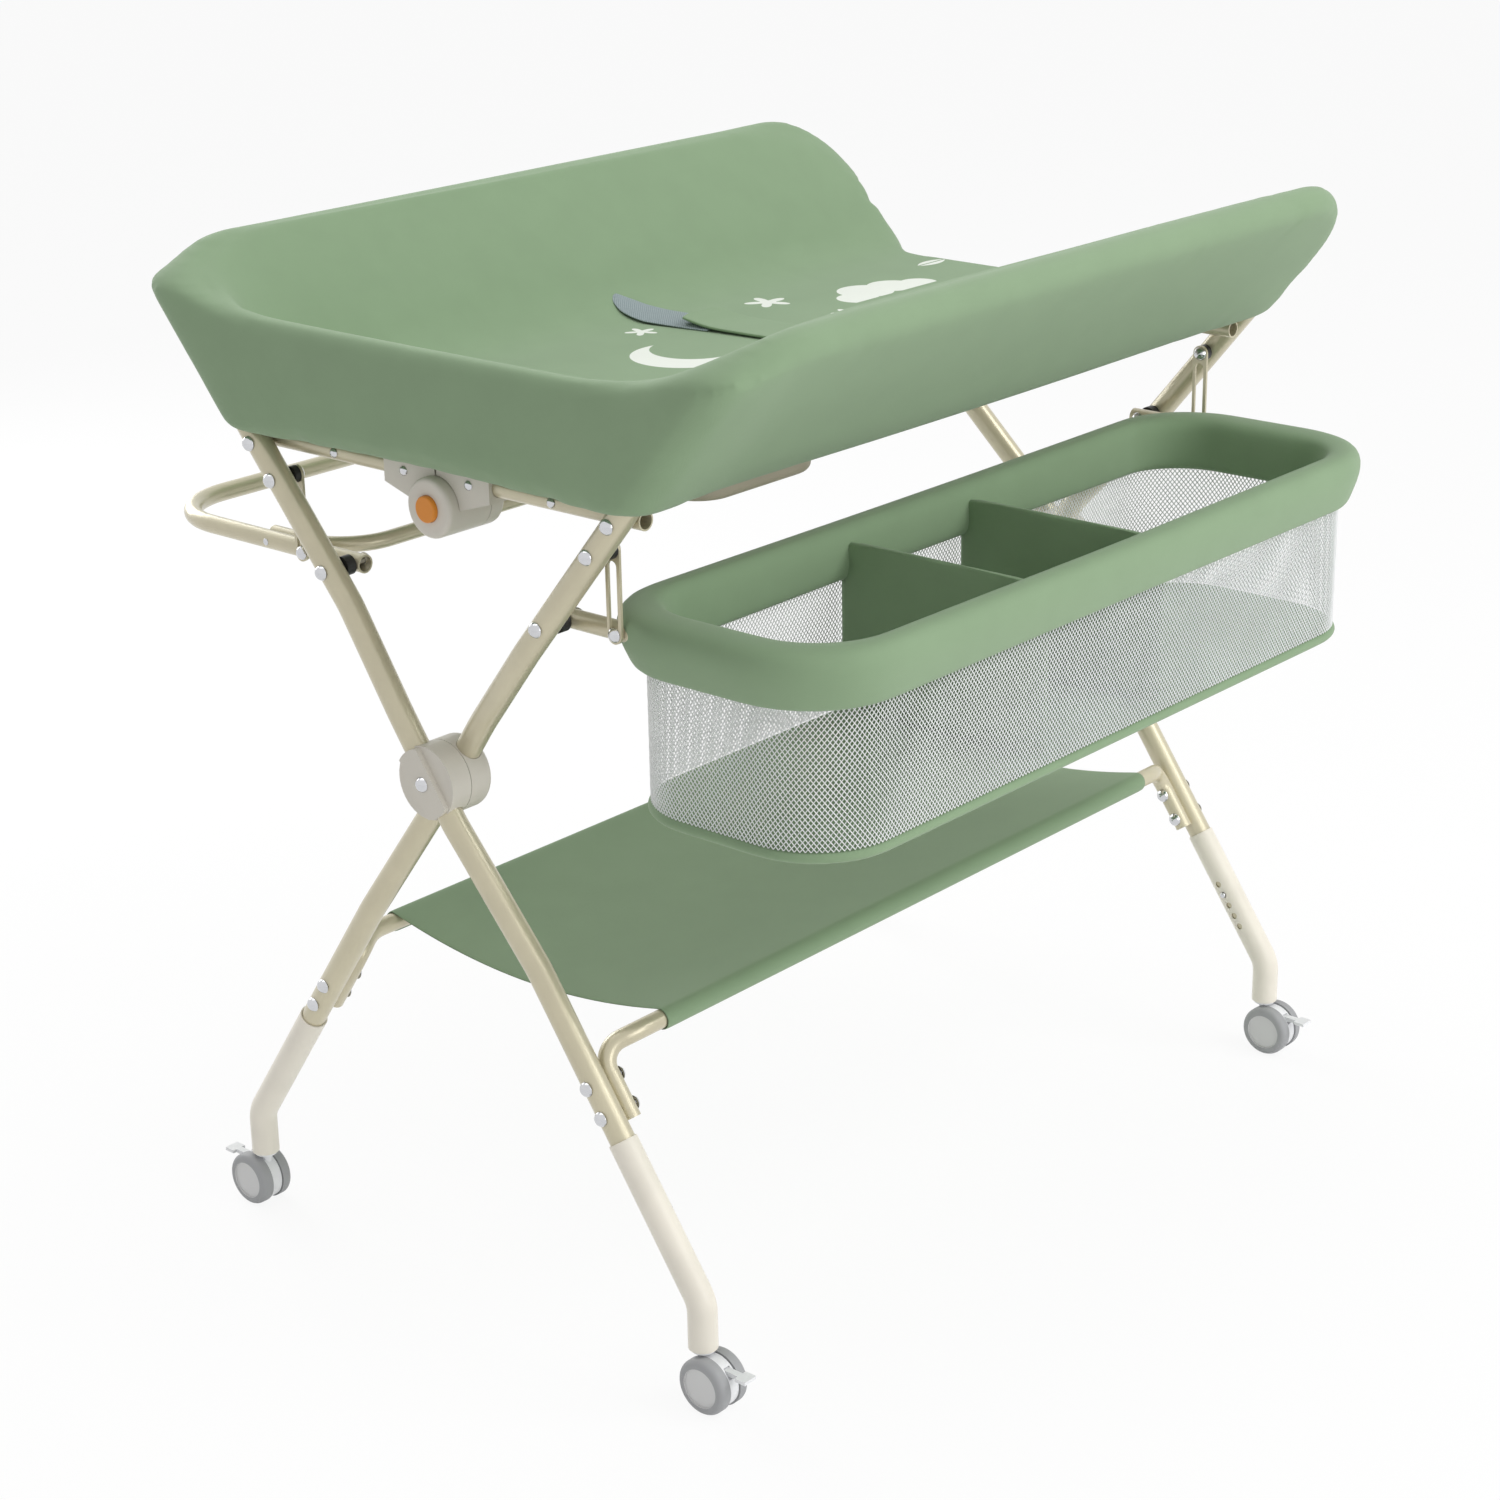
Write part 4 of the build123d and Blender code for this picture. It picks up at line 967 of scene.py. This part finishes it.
def clear_of_links(loop):
    """Draws the loop in at both ends, where the ring's links hang beside the rim."""
    eased = []
    for x, y, z in loop:
        ease = min(1.0, max(0.0, (link_far - y) / (link_far - link_ease)))
        ease = ease * ease * (3 - 2 * ease)
        limit = link_face + (rim_outer["half_x"] - link_face) * ease
        eased.append((max(-limit, min(limit, x)), y, z))
    return eased


rim_lift = 0.001
rim_tall = 0.97
rim_base = rim_low[2] + rim_lift
rim_loops = [rim_loop(share, rim_base + rise * rim_tall) for share, rise in rim_section]
rim_loops = [clear_of_links(loop) for loop in rim_loops]
basket_rim_pad = loft("basket_rim_pad", rim_loops, green, closed=True)
puffed(basket_rim_pad, pressure=2.0, spare=0.025, cap=0.0016)
smoothed(basket_rim_pad)
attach(basket_rim_pad, "front_ring")
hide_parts("basket_rim")

# %% [markdown]
# The wall of the basket is an open net of white threads that cross in small diamonds. A picture of
# a net would not be there from the side, so every thread is real. Geometry Nodes lays slanting
# lines side by side on a flat strip, bends the strip along the basket's outline, and gives each
# line a three-sided section, so that nearly nine hundred threads stay light.

# %% net of the basket
net_low, net_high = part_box("basket_net")
net_pitch = 0.0043
net_thread = 0.00052
net_radius = 0.072
net_slack = 0.001
net_into_rim = 0.006


def outline_curve(name, loop):
    """A closed curve through the points of a loop."""
    data = bpy.data.curves.new(name, "CURVE")
    data.dimensions = "3D"
    line = data.splines.new("POLY")
    line.points.add(len(loop) - 1)
    for point, spot in zip(line.points, loop):
        point.co = (*spot, 1.0)
    line.use_cyclic_u = True
    return linked(name, data)


def net_tree(sizes):
    tree, size = geometry_tree("net_threads", sizes, takes_geometry=True)
    path = size["Geometry"]
    around = tree.node("GeometryNodeCurveLength", None, {0: path})
    starts = tree.node("ShaderNodeCombineXYZ", None, {0: size["Pitch"]})
    values = {"Count": size["Threads"], "Offset": starts}
    row = tree.node("GeometryNodeMeshLine", {"mode": "OFFSET"}, values)
    families = []
    for slant in (1, -1):
        sideways = size["Height"] * size["Slant"] * slant
        top = tree.node("ShaderNodeCombineXYZ", None, {0: sideways, 2: size["Height"]})
        line = tree.node("GeometryNodeCurvePrimitiveLine", None, {"End": top})
        line = tree.node("GeometryNodeResampleCurve", None, {"Curve": line, "Count": 12})
        copies = tree.node("GeometryNodeInstanceOnPoints", None, {"Points": row, "Instance": line})
        families.append(tree.node("GeometryNodeRealizeInstances", None, {"Geometry": copies}))
    both = tree.node("GeometryNodeJoinGeometry", None, {0: families[0]})
    tree.nodes.links.new(families[1].socket, both.socket.node.inputs[0])
    along, unused, rise = tree.split(tree.node("GeometryNodeInputPosition"))
    spot = tree.node("GeometryNodeSampleCurve", {"mode": "LENGTH"}, {
        "Curves": path, "Length": along.do("WRAP", around, 0)}, output=1)
    x, y, z = tree.split(spot)
    bent = tree.node("ShaderNodeCombineXYZ", None, {0: x, 1: y, 2: z + rise})
    threads = tree.node("GeometryNodeSetPosition", None, {"Geometry": both, "Position": bent})
    values = {"Resolution": 3, "Radius": size["Thread"]}
    section = tree.node("GeometryNodeCurvePrimitiveCircle", None, values)
    values = {"Curve": threads, "Profile Curve": section}
    skin = tree.node("GeometryNodeCurveToMesh", None, values)
    finish_tree(tree, skin, net_white)
    return tree


net_white = plastic("white_net", (238, 240, 240), roughness=0.5)
net_loop = rounded_loop(net_high[0] - net_slack, net_low[1] + net_slack, net_high[1] - net_slack,
                        net_radius, net_radius, net_low[2] - net_slack, arc_steps=24)
net_pairs = zip(net_loop, net_loop[1:] + net_loop[:1])
net_around = sum((Vector(a) - Vector(b)).length for a, b in net_pairs)
net_count = round(net_around / net_pitch)
net_sizes = {
    "Threads": net_count, "Pitch": net_around / net_count,
    "Height": rim_low[2] + net_into_rim - net_low[2], "Slant": 0.8, "Thread": net_thread,
}
basket_net_threads = grown("basket_net_threads", net_tree(net_sizes), net_sizes, net_white,
                           start=outline_curve("net_outline", net_loop))
print("net", len(basket_net_threads.data.polygons), "faces")
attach(basket_net_threads, "front_ring")
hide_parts("basket_net")

# %% [markdown]
# The floor of the basket is a stiff padded board with a rolled piping where the net is sewn on.
# Two thin padded dividers hang between the long sides. Each is a closed form whose faces bow
# outwards, so it reads as cloth over a board and not as a plate.

# %% base and dividers of the basket
base_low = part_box("basket_base")[0]
base_levels = [
    (-0.012, 0.0006), (-0.002, 0.0), (0.0005, 0.0022), (0.0022, 0.0052), (0.0005, 0.0082),
    (-0.002, 0.0100), (-0.006, 0.0098), (-0.012, 0.0106), (-0.03, 0.0112),
]


def base_loop(grow, rise):
    radius = net_radius + grow
    return rounded_loop(net_high[0] + grow, net_low[1] - grow, net_high[1] + grow,
                        radius, radius, base_low[2] + rise)


basket_base_pad = loft("basket_base_pad", [base_loop(*level) for level in base_levels], green)
smoothed(basket_base_pad)
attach(basket_base_pad, "front_ring")
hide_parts("basket_base")

divider_low, divider_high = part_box("basket_dividers")
divider_half = 0.003
divider_sag = 0.004
divider_bow = 0.003
bow_turn = 2.4
edge_half = 0.0026
swell = 0.0012
hem_half = 0.0036
end_share = 0.35
top_hem_share = 0.93
divider_places = (divider_low[0] + divider_half, divider_high[0] - divider_half)


def divider(name, x, columns=26, rows=16):
    """A padded panel across the basket, with a swollen middle and a thicker top hem."""
    loops = []
    for row in range(rows + 1):
        share = row / rows
        loop = []
        for turn in range(2 * columns):
            way = turn / columns if turn < columns else 2 - turn / columns
            sag = divider_sag * math.sin(math.pi * way) * share
            half = edge_half + swell * math.sin(math.pi * share) * math.sin(math.pi * way)
            half = hem_half if share > top_hem_share else half
            bow = divider_bow * math.sin(math.pi * way) * math.sin(bow_turn * share)
            y = divider_low[1] + (divider_high[1] - divider_low[1]) * way
            z = divider_low[2] + (divider_high[2] - divider_low[2] - sag) * share
            side = -1 if turn < columns else 1
            flat = end_share if turn in (0, columns) else 1.0
            loop.append((x + side * half * flat + bow, y, z))
        loops.append(loop)
    return smoothed(loft(name, loops, green))


for number, x in enumerate(divider_places, 1):
    panel = divider("basket_divider_" + str(number), x)
    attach(panel, "front_ring")
    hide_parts("basket_dividers")

# %% [markdown]
# The low shelf is one sheet of cloth with a sleeve sewn along each long side, and a tube through
# each sleeve. It hangs a little between the tubes and more towards its free ends. The section is
# worked out round both tubes and lofted along X.

# %% cloth shelf
shelf_low, shelf_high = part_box("shelf_sling")
shelf_y = 0.161
shelf_z = 0.285
sleeve_reach = 0.0092
shelf_sag = 0.016
end_sag = 0.004
cloth_thick = 0.0014
sleeve_start = -100
sleeve_turn = 190
sleeve_steps = 14
middle_steps = 30
stations = 60


def shelf_section(x):
    """Points of the shelf's middle line at x, from one sleeve to the other."""
    end = abs(x) / shelf_high[0]
    sag = shelf_sag + end_sag * end ** 4
    sleeve = []
    for step in range(sleeve_steps + 1):
        angle = math.radians(sleeve_start + step * sleeve_turn / sleeve_steps)
        sleeve.append((x, shelf_y + math.cos(angle) * sleeve_reach,
                       shelf_z + math.sin(angle) * sleeve_reach))
    middle = []
    for step in range(1, middle_steps):
        share = step / middle_steps
        y = shelf_y * (1 - 2 * share)
        dip = sag * (1 - (2 * share - 1) ** 2)
        middle.append((x, y, shelf_z + sleeve_reach - dip))
    other = [(x, -py, pz) for px, py, pz in reversed(sleeve)]
    return sleeve + middle + other


def shelf_sheet():
    """The shelf's cloth: its section at every station, joined and given a thickness."""
    lines = []
    for step in range(stations + 1):
        x = shelf_low[0] + (shelf_high[0] - shelf_low[0]) * step / stations
        lines.append(shelf_section(x))
    row = len(lines[0])
    points = [point for line in lines for point in line]
    faces = []
    for i in range(stations):
        for j in range(row - 1):
            a = i * row + j
            faces.append((a, a + row, a + row + 1, a + 1))
    sheet = new_piece("shelf_cloth", points, faces, green)
    shell = sheet.modifiers.new("thickness", "SOLIDIFY")
    shell.thickness = cloth_thick
    shell.offset = 0.0
    return face_outwards(smoothed(applied(sheet)))


shelf_cloth = shelf_sheet()
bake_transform(shelf_cloth)
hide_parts("shelf_sling")

# %% [markdown]
# The studio is a pale floor and a white world, as in a catalogue picture. The camera and the shiny
# parts see pure white, while the lamps stay at a plain level, and the floor keeps a soft shadow.


# %% floor, world and lamps
floor_white_share = 0.90
floor_reach = 30.0
world_strength = 0.52


def seen_by(tree, *kinds):
    """1 on rays of these kinds, such as Camera, and 0 on all others."""
    rays = tree.node("ShaderNodeLightPath").socket.node.outputs
    wires = [Wire(tree, rays["Is " + kind + " Ray"]) for kind in kinds]
    return sum(wires[1:], wires[0]).low(1.0)


def put_out(tree, kind, wire):
    """Links a wire to the Surface of the tree's output node."""
    output = next(node for node in tree.nodes.nodes if node.type == kind)
    tree.nodes.links.new(wire.socket, output.inputs["Surface"])


def studio_floor():
    material, tree, shader = new_material("pale_floor")
    plug(tree, shader, Base_Color=(0.92, 0.92, 0.92, 1.0), Roughness=0.8, Specular_IOR_Level=0.1)
    lit = Wire(tree, shader.outputs[0])
    white = tree.node("ShaderNodeEmission", None, {"Color": (1, 1, 1, 1), "Strength": 1.0})
    share = seen_by(tree, "Camera", "Glossy", "Transmission") * floor_white_share
    both = tree.node("ShaderNodeMixShader", None, {0: share, 1: lit, 2: white})
    put_out(tree, "OUTPUT_MATERIAL", both)
    reach = floor_reach
    points = [(-reach, -reach, 0), (reach, -reach, 0), (reach, reach, 0), (-reach, reach, 0)]
    plate = new_piece("studio_floor", points, [(0, 1, 2, 3)], material)


def studio_world():
    world = bpy.data.worlds.new("studio")
    world.use_nodes = True
    scene.world = world
    tree = Tree(world.node_tree)
    soft = world.node_tree.nodes["Background"]
    soft.inputs["Color"].default_value = (1.0, 1.0, 1.0, 1.0)
    soft.inputs["Strength"].default_value = world_strength
    lit = Wire(tree, soft.outputs[0])
    white = tree.node("ShaderNodeBackground", None, {"Color": (1, 1, 1, 1), "Strength": 1.0})
    share = seen_by(tree, "Camera", "Glossy")
    both = tree.node("ShaderNodeMixShader", None, {0: share, 1: lit, 2: white})
    put_out(tree, "OUTPUT_WORLD", both)


def lamp(name, spot, target, size, power):
    """A square soft box at spot that faces target."""
    data = bpy.data.lights.new(name, "AREA")
    data.shape = "SQUARE"
    data.size = size
    data.energy = power
    box = linked(name, data)
    box.location = spot
    box.rotation_euler = (Vector(target) - Vector(spot)).to_track_quat("-Z", "Y").to_euler()


studio_floor()
studio_world()
lamp("key_box", (1.3, -2.5, 2.9), (0, 0, 0.6), 1.8, 49.0)
lamp("top_box", (-0.2, 0.6, 3.2), (0, 0, 0.7), 2.2, 22.0)
lamp("low_box", (-0.2, -3.2, 1.25), (0, 0, 0.35), 1.6, 24.0)
lamp("back_box", (0.3, 2.8, 1.55), (0, 0, 0.3), 1.6, 34.0)

# %% [markdown]
# The camera stands where the photograph was taken from: in front of the head end, a little above
# the padded top. Its place and angles were fitted to the ends of the legs, the rivets and the
# corners of the cover, and its lens follows from how fast the table shrinks with distance.

# %% camera
camera_place = Vector((-2.0157, -1.7257, 1.3694))
camera_turn = math.radians(41.23)
camera_down = math.radians(20.38)
camera_roll = math.radians(-1.08)
focal_pixels = 3049.0
frame_pixels = 1500.0


def camera_axes():
    """Right, up and backward directions of the camera in the frame of the table."""
    ahead = Vector((math.cos(camera_down) * math.cos(camera_turn),
                    math.cos(camera_down) * math.sin(camera_turn), -math.sin(camera_down)))
    level_right = Vector((math.sin(camera_turn), -math.cos(camera_turn), 0))
    level_up = level_right.cross(ahead)
    right = level_right * math.cos(camera_roll) + level_up * math.sin(camera_roll)
    up = level_up * math.cos(camera_roll) - level_right * math.sin(camera_roll)
    return right, up, -ahead


camera_data = bpy.data.cameras.new("studio_camera")
camera_data.sensor_width = 36.0
camera_data.sensor_fit = "HORIZONTAL"
camera_data.lens = camera_data.sensor_width * focal_pixels / frame_pixels
camera = linked("studio_camera", camera_data)
columns = [*camera_axes(), camera_place]
rows = [[column[row] for column in columns] for row in range(3)]
camera.matrix_world = Matrix(rows + [[0, 0, 0, 1]])
scene.camera = camera

scene.view_settings.view_transform = "Standard"
bpy.context.view_layer.update()
